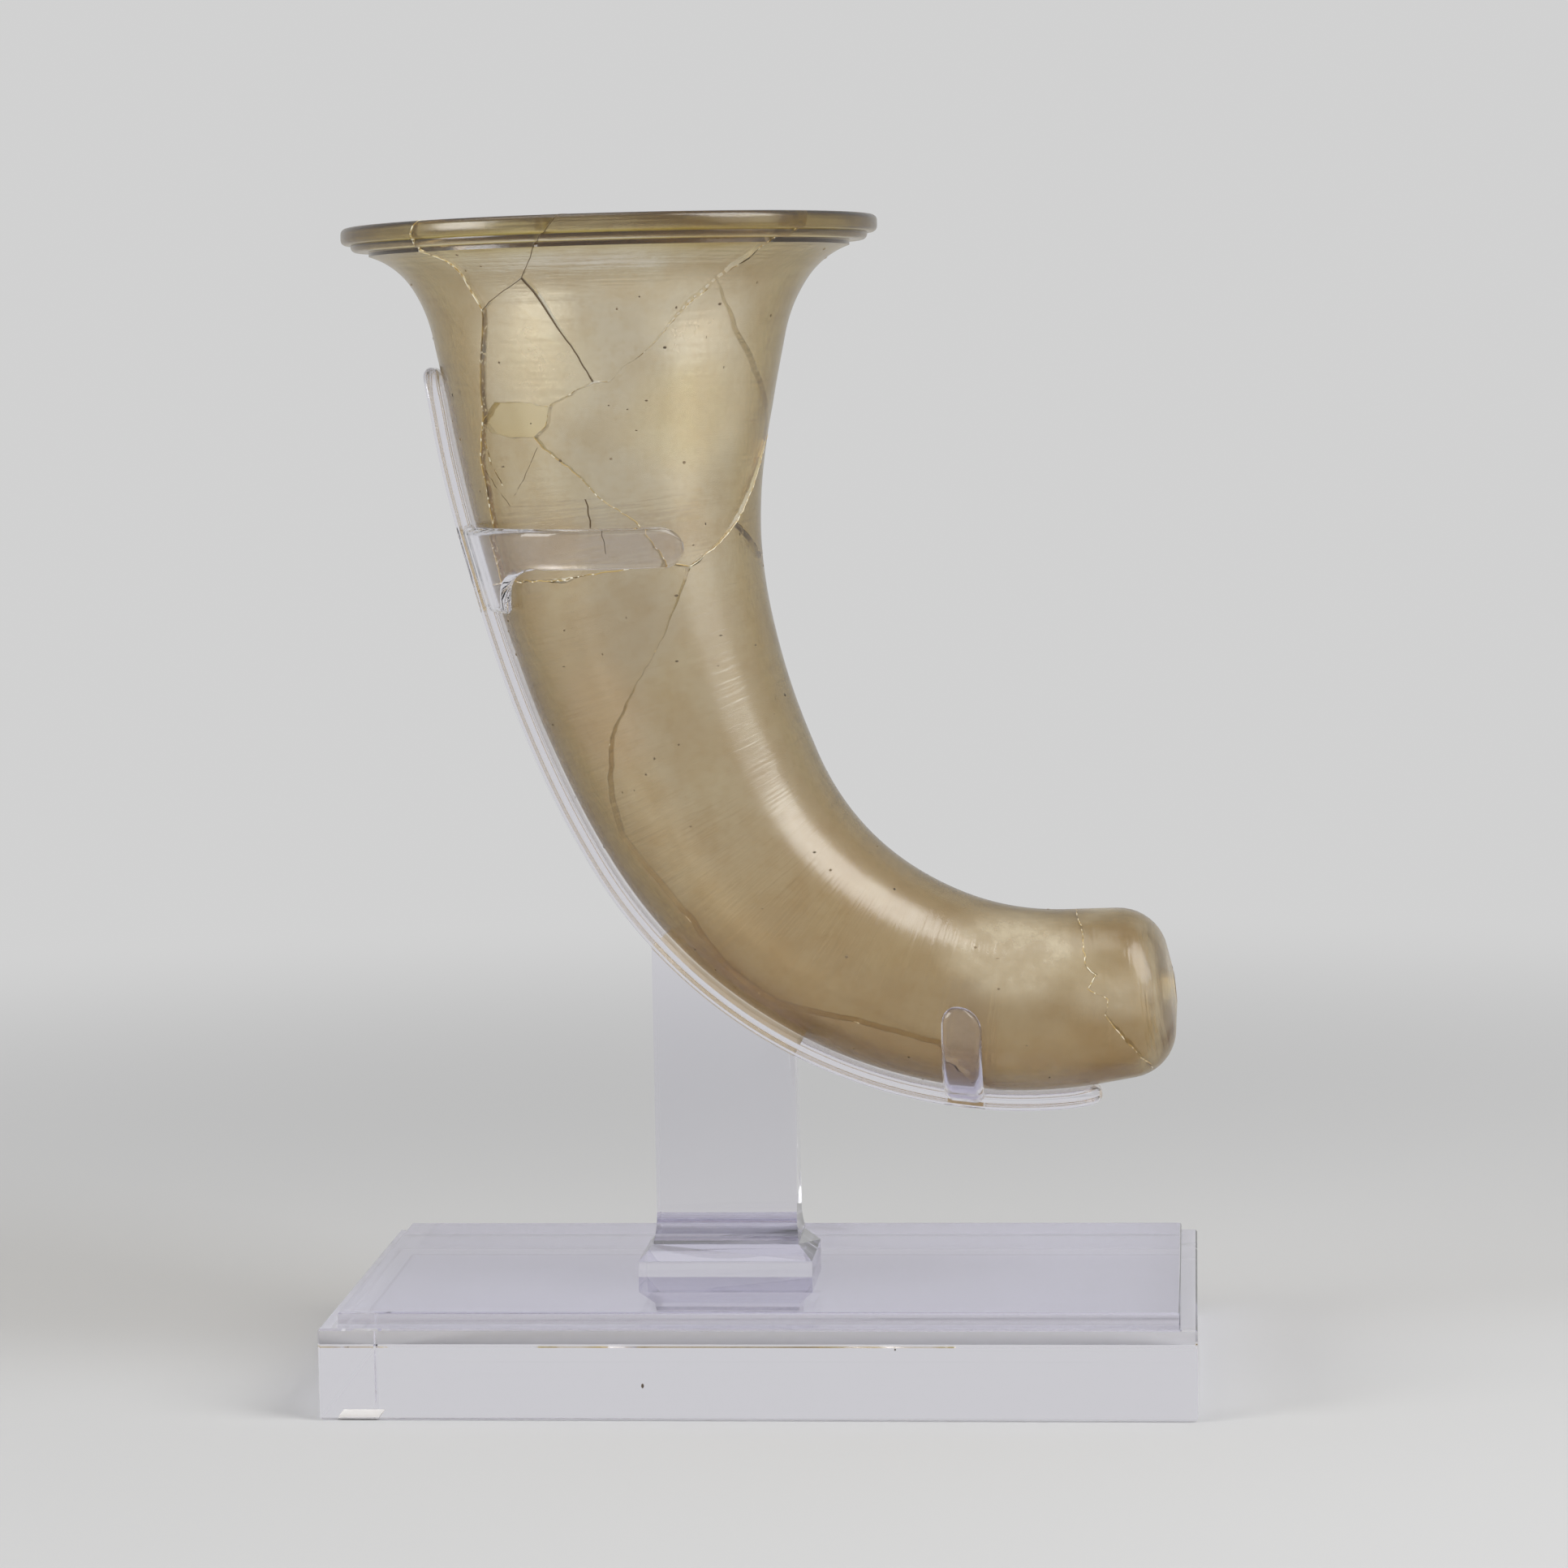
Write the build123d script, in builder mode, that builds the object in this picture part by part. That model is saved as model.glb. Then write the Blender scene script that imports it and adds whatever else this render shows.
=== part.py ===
from build123d import *
import math
import os

# A blown glass drinking horn (rhyton), mended from its sherds, lying in a fitted clear acrylic stand.
# Millimetres. +Z is up, X runs from the mouth to the tip, -Y faces the viewer.
# The origin is the middle of the stand's underside.

# Axis of the horn: straight under the mouth, a wide bend, a tight bend, then straight to the tip.
mouth_x = -31.8
rim_height = 246.3
neck_straight = 39.4
wide_bend_radius = 188.0
wide_bend_angle = 26.3
tight_bend_radius = 79.2
tight_bend_angle = 69.6
tip_straight = 20.0

# Outer radius of the glass at places along that axis, measured as depth below the rim.
shoulder_depth = 24.0
shoulder_radius = 37.4
throat_depth = 39.0
throat_radius = 34.4
neck_depth = 74.0
neck_radius = 28.8
horn_depth = 128.0
horn_radius = 25.0
elbow_depth = 178.0
elbow_radius = 21.4
tip_root_radius = 18.8
wall = 2.8

# Mouth: a thick lip with a rounded step and a fine step under it, then the trumpet flare.
lip_radius = 56.8
lip_thickness = 3.6
lip_edge_round = 1.2
lip_top_width = 2.6
step_radius = 54.7
step_round = 1.2
step_drop = 0.95
flare_root_radius = 50.9
flare_root_depth = 6.1
flare_waist_radius = 41.9
flare_waist_depth = 13.0

# Tip: a blunt rounded end with the pouring hole.
tip_radius = 18.1
tip_shoulder = 9.6
tip_face_radius = 8.8
tip_crown = 0.8
tip_end_wall = 4.2
spout_radius = 3.3

# Break right round the tip, a slanting plane.
tip_break_from_end = 12.8
tip_break_lean = 20.0

# Stand: cradle strap with its arms and prongs, post, foot, plate and block.
glass_gap = 0.4
strap_thickness = 3.5
strap_width = 12.7
strap_top_depth = 30.0
strap_end_depth = 224.0
arm_thickness = 3.2
arm_top_depth = 63.3
arm_width = 8.6
arm_past_axis = 14.7
arm_root_reach = 5.0
arm_root_fillet = 10.0
arm_root_straight = 1.4
prong_thickness = 3.2
prong_width = 8.4
prong_depth = 197.0
round_end_flat = 0.1

post_x = -9.75
post_width = 30.2
post_cove_side = 0.45
post_cove_front = 2.55
post_cove_height = 5.2
post_lip = 0.8
foot_edge = 3.4
foot_bevel = 3.1

plate_margin_side = 3.5
plate_margin_front = 4.75
plate_thickness = 2.5
block_length = 181.7
block_depth = 104.7
block_height = 19.05
block_edge = 0.4

# Construction: sections of a loft, and how far cutting blocks stand clear of the glass and into its bore.
section_count = 22
cutter_margin = 30.0
cutter_core = 0.35
cutter_step = 25.0
overshoot = 15.0

wide_bend_length = math.radians(wide_bend_angle) * wide_bend_radius
tight_bend_length = math.radians(tight_bend_angle) * tight_bend_radius
tip_root_depth = neck_straight + wide_bend_length + tight_bend_length
horn_length = tip_root_depth + tip_straight

os.makedirs("parts", exist_ok=True)


# The axis as one line on the plane of symmetry.
with BuildLine(Plane.XZ) as horn_axis:
    mouth_run = Line((mouth_x, rim_height), (mouth_x, rim_height - neck_straight))
    wide_bend = JernArc(mouth_run @ 1, mouth_run % 1, wide_bend_radius, wide_bend_angle)
    tight_bend = JernArc(wide_bend @ 1, wide_bend % 1, tight_bend_radius, tight_bend_angle)
    tip_run = Line(tight_bend @ 1, (tight_bend @ 1) + (tight_bend % 1) * tip_straight)
axis_line = horn_axis.wire()


def axis_plane(depth):
    """Section plane of the horn at a depth: X to the right of the axis, Y to the front, Z down the axis."""
    inside = min(max(depth, 0.0), horn_length)
    along = axis_line.tangent_at(inside, position_mode=PositionMode.LENGTH)
    origin = axis_line.position_at(inside, position_mode=PositionMode.LENGTH) + along * (depth - inside)
    return Plane(origin=origin, x_dir=(-along.Z, 0, along.X), z_dir=along)


radius_law = [
    (shoulder_depth, shoulder_radius),
    (throat_depth, throat_radius),
    (neck_depth, neck_radius),
    (horn_depth, horn_radius),
    (elbow_depth, elbow_radius),
    (tip_root_depth, tip_root_radius),
]


def law_slope(index):
    """Slope of the radius law at one of its stations."""
    before = radius_law[max(index - 1, 0)]
    after = radius_law[min(index + 1, len(radius_law) - 1)]
    return (after[1] - before[1]) / (after[0] - before[0])


def glass_radius(depth):
    """Outer radius of the glass between the shoulder and the tip, as a smooth curve through the stations."""
    index = 0
    while index < len(radius_law) - 2 and depth > radius_law[index + 1][0]:
        index += 1
    (start, r0), (end, r1) = radius_law[index], radius_law[index + 1]
    span = end - start
    t = (depth - start) / span
    if t <= 0:
        return r0 + law_slope(index) * (depth - start)
    if t >= 1:
        return r1 + law_slope(index + 1) * (depth - end)
    ease_in, ease_out = t * (1 - t) ** 2 * span, t * t * (t - 1) * span
    blend = t * t * (3 - 2 * t)
    return r0 + (r1 - r0) * blend + law_slope(index) * ease_in + law_slope(index + 1) * ease_out


def wall_point(depth, angle, radius):
    """Point at a depth along the axis and an angle round it, 0 at the front and 90 on the right."""
    turn = math.radians(angle)
    return axis_plane(depth).from_local_coords((radius * math.sin(turn), radius * math.cos(turn), 0))


def horn_loft(allowance, first, last):
    """Solid horn between two depths, its surface the glass radius plus an allowance."""
    with BuildPart() as solid:
        for number in range(section_count):
            depth = first + (last - first) * number / (section_count - 1)
            with BuildSketch(axis_plane(depth)):
                Circle(glass_radius(depth) + allowance)
        loft()
    return solid.part


# Mouth: the lip, its two steps and the flare, turned about the mouth's axis.
def mouth_point(radius, depth):
    """Point of the mouth's half section, on the sketch plane."""
    return Vector(mouth_x + radius, rim_height - depth)


def inward(tangent):
    """Step of one wall thickness from the outside of the flare to its inside."""
    return Vector(-tangent.Y, tangent.X).normalized() * wall


shoulder_lean = math.atan(-law_slope(0))
shoulder_rise = Vector(math.sin(shoulder_lean), math.cos(shoulder_lean))
outer_shoulder = mouth_point(shoulder_radius, shoulder_depth)
outer_waist = mouth_point(flare_waist_radius, flare_waist_depth)
outer_root = mouth_point(flare_root_radius, flare_root_depth)
inner_shoulder = mouth_point(shoulder_radius - wall, shoulder_depth)

with BuildPart() as mouth:
    with BuildSketch(Plane.XZ) as mouth_section:
        with BuildLine():
            lower_flare = TangentArc(outer_shoulder, outer_waist, tangent=shoulder_rise)
            upper_flare = TangentArc(outer_waist, outer_root, tangent=lower_flare % 1)
            inner_waist = outer_waist + inward(lower_flare % 1)
            inner_root = outer_root + inward(upper_flare % 1)
            Polyline(
                outer_root,
                mouth_point(flare_root_radius, flare_root_depth - step_drop),
                mouth_point(step_radius, flare_root_depth - step_drop),
                mouth_point(step_radius, lip_thickness),
                mouth_point(lip_radius, lip_thickness),
                mouth_point(lip_radius, 0),
                mouth_point(lip_radius - lip_top_width, 0),
                inner_root,
            )
            TangentArc(inner_waist, inner_root, tangent=lower_flare % 1)
            TangentArc(inner_shoulder, inner_waist, tangent=shoulder_rise)
            Line(inner_shoulder, outer_shoulder)
        make_face()
        step_corner = mouth_section.vertices().group_by(Axis.X)[-2].sort_by(Axis.Y)[0]
        fillet(step_corner, step_round)
        fillet(mouth_section.vertices().group_by(Axis.X)[-1], lip_edge_round)
    revolve(axis=Axis((mouth_x, 0, 0), (0, 0, 1)))

# Tip: blunt end turned about the last straight of the axis, with the pouring hole through it.
tip_plane = axis_plane(tip_root_depth)
tip_sketch_plane = Plane(origin=tip_plane.origin, x_dir=tip_plane.z_dir, z_dir=(0, -1, 0))

with BuildPart() as tip:
    with BuildSketch(tip_sketch_plane):
        with BuildLine():
            outer_side = Line((0, tip_root_radius), (tip_shoulder, tip_radius))
            outer_turn = TangentArc(
                outer_side @ 1, (tip_straight - tip_crown, tip_face_radius), tangent=outer_side % 1
            )
            inner_side = Line((0, tip_root_radius - wall), (tip_shoulder, tip_radius - wall))
            inner_turn = TangentArc(
                inner_side @ 1, (tip_straight - tip_end_wall, tip_face_radius), tangent=inner_side % 1
            )
            Polyline(
                outer_turn @ 1,
                (tip_straight, spout_radius),
                (tip_straight - tip_end_wall, spout_radius),
                inner_turn @ 1,
            )
            Line(inner_side @ 0, outer_side @ 0)
        make_face()
    revolve(axis=Axis(tip_plane.origin, tip_plane.z_dir))

# The whole glass wall, before it broke.
with BuildPart() as glass:
    add(horn_loft(0, shoulder_depth, tip_root_depth))
    add(horn_loft(-wall, shoulder_depth, tip_root_depth), mode=Mode.SUBTRACT)
    add(mouth.part)
    add(tip.part)


# Breaks. Each is a line on the glass, given by points of depth below the rim and angle round the axis.
# The glass is cut square to its surface along them, and the mended edges meet face to face.
def cutter_reach(depth):
    """Radius well outside the glass at a depth."""
    return cutter_margin + (lip_radius if depth < shoulder_depth else glass_radius(depth))


def cutter_root(depth):
    """Radius well inside the bore at a depth."""
    return cutter_core * glass_radius(max(depth, shoulder_depth))


def follow_round(outline):
    """Outline with extra points wherever it runs far round the glass between two corners."""
    dense = []
    for here, (depth, angle) in enumerate(outline):
        next_depth, next_angle = outline[(here + 1) % len(outline)]
        steps = math.ceil(max(abs(next_angle - angle) / cutter_step, 1))
        for step in range(steps):
            share = step / steps
            dense.append((depth + (next_depth - depth) * share, angle + (next_angle - angle) * share))
    return dense


def closed_solid(triangles):
    """Solid bounded by flat triangles."""
    return Solid(Shell([Face(Wire.make_polygon(corners)) for corners in triangles]))


def sherd_block(hub, outline):
    """Block that cuts one sherd from the wall: its outline carried from the axis to outside the glass."""
    corners = follow_round(outline)
    outside = [wall_point(depth, angle, cutter_reach(depth)) for depth, angle in corners]
    inside = [wall_point(depth, angle, cutter_root(depth)) for depth, angle in corners]
    top = wall_point(*hub, cutter_reach(hub[0]))
    bottom = wall_point(*hub, cutter_root(hub[0]))
    triangles = []
    for here in range(len(corners)):
        there = (here + 1) % len(corners)
        triangles.append((inside[here], outside[here], outside[there]))
        triangles.append((inside[here], outside[there], inside[there]))
        triangles.append((top, outside[here], outside[there]))
        triangles.append((bottom, inside[here], inside[there]))
    return closed_solid(triangles)


def mouth_side_block(hub_depth, ring):
    """Block that holds everything on the mouth's side of a break right round the neck."""
    low = [wall_point(depth, angle, cutter_margin + lip_radius) for depth, angle in ring]
    high = [Vector(point.X, point.Y, rim_height + cutter_margin) for point in low]
    hub = axis_plane(hub_depth).origin
    cap = Vector(mouth_x, 0, rim_height + cutter_margin)
    triangles = []
    for here in range(len(ring)):
        there = (here + 1) % len(ring)
        triangles.append((hub, low[here], low[there]))
        triangles.append((low[here], low[there], high[there]))
        triangles.append((low[here], high[there], high[here]))
        triangles.append((cap, high[here], high[there]))
    return closed_solid(triangles)


neck_break = [
    (71, -150), (72, -90), (71, -29), (72, 0), (74, 25), (75, 36), (71, 50), (67, 61),
    (62, 70), (56, 78), (48, 90), (45, 105), (50, 120), (58, 135), (64, 150), (69, 180),
]
neck_break_hub = 66

tip_break_plane = axis_plane(horn_length - tip_break_from_end).rotated((0, -tip_break_lean, 0))

with BuildPart() as beyond_tip_break:
    with BuildSketch(tip_break_plane):
        Circle(tip_root_radius + cutter_margin)
    extrude(amount=tip_straight + cutter_margin)

with BuildPart() as neck_glass:
    add(glass.part)
    add(mouth_side_block(neck_break_hub, neck_break), mode=Mode.INTERSECT)

with BuildPart() as horn_glass:
    add(glass.part)
    add(mouth_side_block(neck_break_hub, neck_break), mode=Mode.SUBTRACT)
    add(beyond_tip_break.part, mode=Mode.SUBTRACT)

with BuildPart() as tip_sherd:
    add(glass.part)
    add(beyond_tip_break.part, mode=Mode.INTERSECT)

# Sherds are lifted out of the wall one after another, so a later outline may run over an earlier one.
neck_sherds = {
    "resin_fill": (
        (41, -30),
        [(41, -45), (37, -37), (37, -26), (38, -15), (42, -17), (44, -22), (44, -32), (43, -41)],
    ),
    "rim_wedge_sherd": (
        (3, -24),
        [(-overshoot, -36), (6, -42), (14, -37), (18, -35), (11, -17), (4, -8), (-overshoot, -2)],
    ),
    "rim_front_sherd": (
        (8, 14),
        [(-overshoot, -20), (9, -18), (20, -11), (33, 1), (27, 18), (20, 28), (13, 39), (3, 51),
         (-overshoot, 54)],
    ),
    "neck_small_sherd": (
        (28, -22),
        [(18, -35), (24, -38), (34, -43), (41, -46), (41, -20), (36, -9), (33, 1), (22, 2), (8, -14),
         (8, -25)],
    ),
    "neck_front_sherd": (
        (48, 35),
        [(40, -18), (44, -21), (52, -7), (57, 0), (63, 13), (71, 20), (90, 28), (90, 80), (60, 96),
         (47, 89), (39, 81), (32, 67), (26, 57), (13, 39), (22, 15), (30, -4)],
    ),
    "neck_lower_sherd": (
        (62, -25),
        [(36, -45), (48, -51), (58, -53), (90, -56), (90, 40), (60, 20), (44, 0), (36, -20)],
    ),
    "rim_left_sherd": (
        (30, -80),
        [(-overshoot, -132), (30, -126), (55, -136), (90, -138), (90, -20), (-overshoot, -20)],
    ),
    "rim_back_sherd": (
        (30, 195),
        [(-overshoot, 150), (25, 156), (50, 142), (90, 146), (90, 250), (-overshoot, 250)],
    ),
}
horn_sherds = {
    "throat_sherd": (
        (62, 100),
        [(67, 61), (77, 86), (73, 115), (58, 135), (30, 125), (30, 80)],
    ),
    "underside_sherd": (
        (130, -85),
        [(60, 33), (78, 30), (88, 16), (99, -9), (105, -24), (116, -40), (124, -47), (133, -42),
         (143, -41), (154, -50), (164, -49), (171, -39), (178, -31), (194, -28), (203, -56),
         (207, -90), (200, -122), (180, -138), (150, -130), (120, -145), (90, -136), (60, -140)],
    ),
}
finished = {"tip_sherd": tip_sherd.part}


def lift_sherds(wall_left, outlines, last_name):
    """Cut the named sherds out of a piece of wall in turn. What is left is the last sherd."""
    for name, (hub, outline) in outlines.items():
        block = sherd_block(hub, outline)
        with BuildPart() as sherd:
            add(wall_left)
            add(block, mode=Mode.INTERSECT)
        finished[name] = sherd.part
        with BuildPart() as rest:
            add(wall_left)
            add(block, mode=Mode.SUBTRACT)
        wall_left = rest.part
    finished[last_name] = wall_left


lift_sherds(neck_glass.part, neck_sherds, "rim_right_sherd")
lift_sherds(horn_glass.part, horn_sherds, "horn_sherd")


# Cradle: a flat strap bent along the horn's outer side, with two arms at the neck and two prongs at the tip.
def strap_curve(allowance):
    """Points along the outer side of the bend, off the glass by an allowance, on the plane of symmetry."""
    places = []
    for number in range(section_count):
        depth = strap_top_depth + (strap_end_depth - strap_top_depth) * number / (section_count - 1)
        point = wall_point(depth, -90, glass_radius(depth) + allowance)
        places.append((point.X, point.Z))
    return places


with BuildPart() as cradle_strap:
    with BuildSketch(Plane.XZ):
        with BuildLine():
            strap_inside = Spline(*strap_curve(glass_gap))
            strap_outside = Spline(*strap_curve(glass_gap + strap_thickness))
            Line(strap_inside @ 0, strap_outside @ 0)
            Line(strap_inside @ 1, strap_outside @ 1)
        make_face()
    extrude(amount=strap_width / 2, both=True)
    end_corners = cradle_strap.edges().filter_by(GeomType.LINE).filter_by(Axis.Y, reverse=True)
    fillet(end_corners, (strap_width - round_end_flat) / 2)
finished["cradle_strap"] = cradle_strap.part

arm_depth = arm_top_depth + arm_width / 2
arm_top = rim_height - arm_top_depth
arm_foot = arm_top - arm_width - arm_root_fillet - arm_root_straight
arm_tip_x = axis_plane(arm_depth).origin.X + arm_past_axis
strap_side_x = wall_point(arm_depth, -90, glass_radius(arm_depth)).X
arm_root_x = strap_side_x + arm_root_reach
arm_far_x = strap_side_x - cutter_margin
arm_first = arm_depth - 2 * (arm_top - arm_foot)
arm_last = arm_depth + 2 * (arm_top - arm_foot)

with BuildPart() as front_arm:
    add(horn_loft(glass_gap + arm_thickness, arm_first, arm_last))
    add(horn_loft(glass_gap, arm_first, arm_last), mode=Mode.SUBTRACT)
    with BuildSketch(Plane.XZ.offset(strap_width / 2)) as arm_outline:
        with BuildLine():
            Polyline(
                (arm_far_x, arm_top),
                (arm_tip_x, arm_top),
                (arm_tip_x, arm_top - arm_width),
                (arm_root_x, arm_top - arm_width),
                (arm_root_x, arm_foot),
                (arm_far_x, arm_foot),
                close=True,
            )
        make_face()
        fillet(arm_outline.vertices().group_by(Axis.X)[-1], (arm_width - round_end_flat) / 2)
        root_corner = arm_outline.vertices().sort_by_distance((arm_root_x, arm_top - arm_width))[0]
        fillet(root_corner, arm_root_fillet)
    extrude(amount=lip_radius, mode=Mode.INTERSECT)
finished["front_arm"] = front_arm.part

with BuildPart() as rear_arm:
    mirror(front_arm.part, about=Plane.XZ)
finished["rear_arm"] = rear_arm.part

prong_axis = axis_plane(prong_depth).origin
prong_first = prong_depth - 2 * prong_width
prong_last = prong_depth + 2 * prong_width

with BuildPart() as front_prong:
    add(horn_loft(glass_gap + prong_thickness, prong_first, prong_last))
    add(horn_loft(glass_gap, prong_first, prong_last), mode=Mode.SUBTRACT)
    with BuildSketch(Plane.XZ.offset(strap_width / 2)) as prong_outline:
        with Locations((prong_axis.X, prong_axis.Z / 2)):
            Rectangle(prong_width, prong_axis.Z)
        fillet(prong_outline.vertices().group_by(Axis.Y)[-1], (prong_width - round_end_flat) / 2)
    extrude(amount=lip_radius, mode=Mode.INTERSECT)
finished["front_prong"] = front_prong.part

with BuildPart() as rear_prong:
    mirror(front_prong.part, about=Plane.XZ)
finished["rear_prong"] = rear_prong.part

# Post: a bar as thick as the strap is wide, hollowed on top to the strap's curve and coved out to its foot.
plate_top = block_height + plate_thickness
foot_top = plate_top + foot_edge + foot_bevel
foot_width = post_width + 2 * (post_cove_side + foot_bevel)
foot_depth = strap_width + 2 * (post_cove_front + foot_bevel)
post_top = axis_plane(neck_depth).origin.Z


def coved_profile(half_stem, flare, middle):
    """Half outline of the post, from its middle line out along the base, up the cove and up the stem."""
    half_base = half_stem + flare
    lip_edge = (middle + half_base, foot_top + post_lip)
    stem_foot = (middle + half_stem, foot_top + post_lip + post_cove_height)
    Polyline((middle, post_top), (middle, foot_top), (middle + half_base, foot_top), lip_edge)
    TangentArc(stem_foot, lip_edge, tangent=(0, -1))
    Polyline(stem_foot, (middle + half_stem, post_top), (middle, post_top))


with BuildPart() as post:
    with BuildSketch(Plane.YZ.offset(post_x)):
        with BuildLine():
            coved_profile(strap_width / 2, post_cove_front, 0)
        make_face()
        mirror(about=Plane.YZ)
    extrude(amount=foot_width, both=True)
    with BuildSketch(Plane.XZ):
        with BuildLine():
            coved_profile(post_width / 2, post_cove_side, post_x)
        make_face()
        mirror(about=Plane.YZ.offset(post_x))
    extrude(amount=foot_depth, both=True, mode=Mode.INTERSECT)
    with BuildSketch(Plane.XZ):
        with BuildLine():
            saddle = Spline(*strap_curve(glass_gap + strap_thickness))
            Polyline(
                saddle @ 1,
                ((saddle @ 1).X, rim_height),
                ((saddle @ 0).X, rim_height),
                saddle @ 0,
            )
        make_face()
    extrude(amount=foot_depth, both=True, mode=Mode.SUBTRACT)
finished["post"] = post.part

# Foot, plate and block, stacked face to face.
with BuildPart() as post_foot:
    with BuildSketch(Plane.XY.offset(plate_top)):
        with Locations((post_x, 0)):
            Rectangle(foot_width, foot_depth)
    extrude(amount=foot_edge + foot_bevel)
    chamfer(post_foot.faces().sort_by(Axis.Z)[-1].edges(), foot_bevel)
finished["post_foot"] = post_foot.part

with BuildPart() as base_plate:
    with BuildSketch(Plane.XY.offset(block_height)):
        Rectangle(block_length - 2 * plate_margin_side, block_depth - 2 * plate_margin_front)
    extrude(amount=plate_thickness)
    chamfer(base_plate.faces().sort_by(Axis.Z)[-1].edges(), block_edge)
finished["base_plate"] = base_plate.part

with BuildPart() as base_block:
    with BuildSketch():
        Rectangle(block_length, block_depth)
    extrude(amount=block_height)
    chamfer(base_block.edges(), block_edge)
finished["base_block"] = base_block.part

for name, piece in finished.items():
    piece.label = name
    export_step(piece, f"parts/{name}.step")
    print(name, round(piece.volume, 1), "mm3", len(piece.solids()), "solid")
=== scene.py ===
# %% [markdown]
# # A mended glass drinking horn in its clear stand
# The object is a horn-shaped cup of weathered, honey-coloured glass. It broke long ago, and its sherds
# were glued together again. It lies in a cradle of clear acrylic on a post and a heavy base. This lesson
# builds the glass from one rule, breaks it along measured lines, mends it, and then gives every surface
# its finish.

# %% Load the frame
import math

import bmesh
import bpy
import numpy as np
from mathutils import Matrix, Vector, kdtree, noise
from mathutils.geometry import delaunay_2d_cdt


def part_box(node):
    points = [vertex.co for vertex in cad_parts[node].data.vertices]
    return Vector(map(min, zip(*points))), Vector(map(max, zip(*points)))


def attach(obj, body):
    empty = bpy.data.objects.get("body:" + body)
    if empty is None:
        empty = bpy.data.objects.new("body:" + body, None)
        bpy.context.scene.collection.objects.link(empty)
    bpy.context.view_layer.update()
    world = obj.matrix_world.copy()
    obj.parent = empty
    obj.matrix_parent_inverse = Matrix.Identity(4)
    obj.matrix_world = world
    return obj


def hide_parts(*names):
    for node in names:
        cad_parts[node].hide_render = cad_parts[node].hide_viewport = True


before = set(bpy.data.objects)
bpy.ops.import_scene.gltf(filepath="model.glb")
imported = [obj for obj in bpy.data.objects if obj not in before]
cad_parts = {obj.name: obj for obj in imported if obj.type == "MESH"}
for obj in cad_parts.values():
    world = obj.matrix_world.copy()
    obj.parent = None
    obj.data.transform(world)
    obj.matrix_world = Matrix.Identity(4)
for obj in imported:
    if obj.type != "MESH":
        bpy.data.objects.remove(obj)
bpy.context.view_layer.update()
millimetre = 0.001

# %% [markdown]
# ## Camera
# The photograph was taken with a long lens from about a metre away, a little to the right of the middle
# and just below the height of the rim. The place and the three angles come from the corners of the clear
# block.

# %% Camera
camera_place = Vector((0.09194, -1.01570, 0.23225))
camera_yaw = 0.0867
camera_pitch = 0.1036
camera_roll = 0.0176
lens_length = 110.0
sensor_width = 36.0


def linked(name, data):
    """A new object that holds some data, linked into the scene."""
    made = bpy.data.objects.new(name, data)
    bpy.context.scene.collection.objects.link(made)
    return made


def add_camera():
    """Camera at the photograph's place, looking the photograph's way."""
    ahead = Vector((-math.sin(camera_yaw) * math.cos(camera_pitch),
                    math.cos(camera_yaw) * math.cos(camera_pitch),
                    -math.sin(camera_pitch)))
    level = Vector((math.cos(camera_yaw), math.sin(camera_yaw), 0))
    below = ahead.cross(level)
    right = math.cos(camera_roll) * level + math.sin(camera_roll) * below
    down = math.cos(camera_roll) * below - math.sin(camera_roll) * level
    data = bpy.data.cameras.new("camera")
    data.lens = lens_length
    data.sensor_width = sensor_width
    camera = linked("camera", data)
    turn = Matrix((right, -down, -ahead)).transposed()
    camera.matrix_world = Matrix.Translation(camera_place) @ turn.to_4x4()
    bpy.context.scene.camera = camera


add_camera()
print("camera", round(camera_place.length, 2), "m from the middle of the base")

# %% [markdown]
# ## The rule of the horn
# The glass is a tube that tapers and bends. Its axis is a straight, a wide arc, a tight arc and a
# straight. Round that axis runs a circle whose radius is given at a few depths below the rim, with a
# smooth curve between them. Everything on the vessel is placed by a depth along the axis and a turn round
# it: 0 degrees faces the viewer, 90 is the inner side of the bend and -90 the outer side. A rule like
# this is better than a sculpted mesh here, because breaks, glue, straps and arms can all ask it where the
# surface is.

# %% Axis and radius of the horn, in millimetres
rim_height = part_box("rim_left_sherd")[1].z / millimetre
lip_radius = -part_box("rim_front_sherd")[0].y / millimetre
mouth_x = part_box("rim_right_sherd")[1].x / millimetre - lip_radius
neck_straight = 39.4
wide_bend = 188.0
wide_angle = math.radians(26.3)
tight_bend = 79.2
tight_angle = math.radians(69.6)
tip_straight = 20.0
wall = 2.8
wide_end = neck_straight + wide_bend * wide_angle
tip_root = wide_end + tight_bend * tight_angle
radius_law = [(24.0, 37.4), (39.0, 34.4), (74.0, 28.8), (128.0, 25.0), (178.0, 21.4), (tip_root, 18.8)]


def axis_at(depth):
    """Place of the axis on the plane of symmetry, and its lean from the vertical."""
    if depth <= neck_straight:
        return mouth_x, rim_height - depth, 0.0
    lean = min(depth - neck_straight, wide_end - neck_straight) / wide_bend
    x = mouth_x + wide_bend * (1 - math.cos(lean))
    z = rim_height - neck_straight - wide_bend * math.sin(lean)
    if depth > wide_end:
        start, lean = lean, lean + min(depth - wide_end, tip_root - wide_end) / tight_bend
        x += tight_bend * (math.cos(start) - math.cos(lean))
        z -= tight_bend * (math.sin(lean) - math.sin(start))
    beyond = max(depth - tip_root, 0.0)
    return x + beyond * math.sin(lean), z - beyond * math.cos(lean), lean


def law_slope(index):
    """Slope of the radius law at one of its stations."""
    before = radius_law[max(index - 1, 0)]
    after = radius_law[min(index + 1, len(radius_law) - 1)]
    return (after[1] - before[1]) / (after[0] - before[0])


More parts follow.
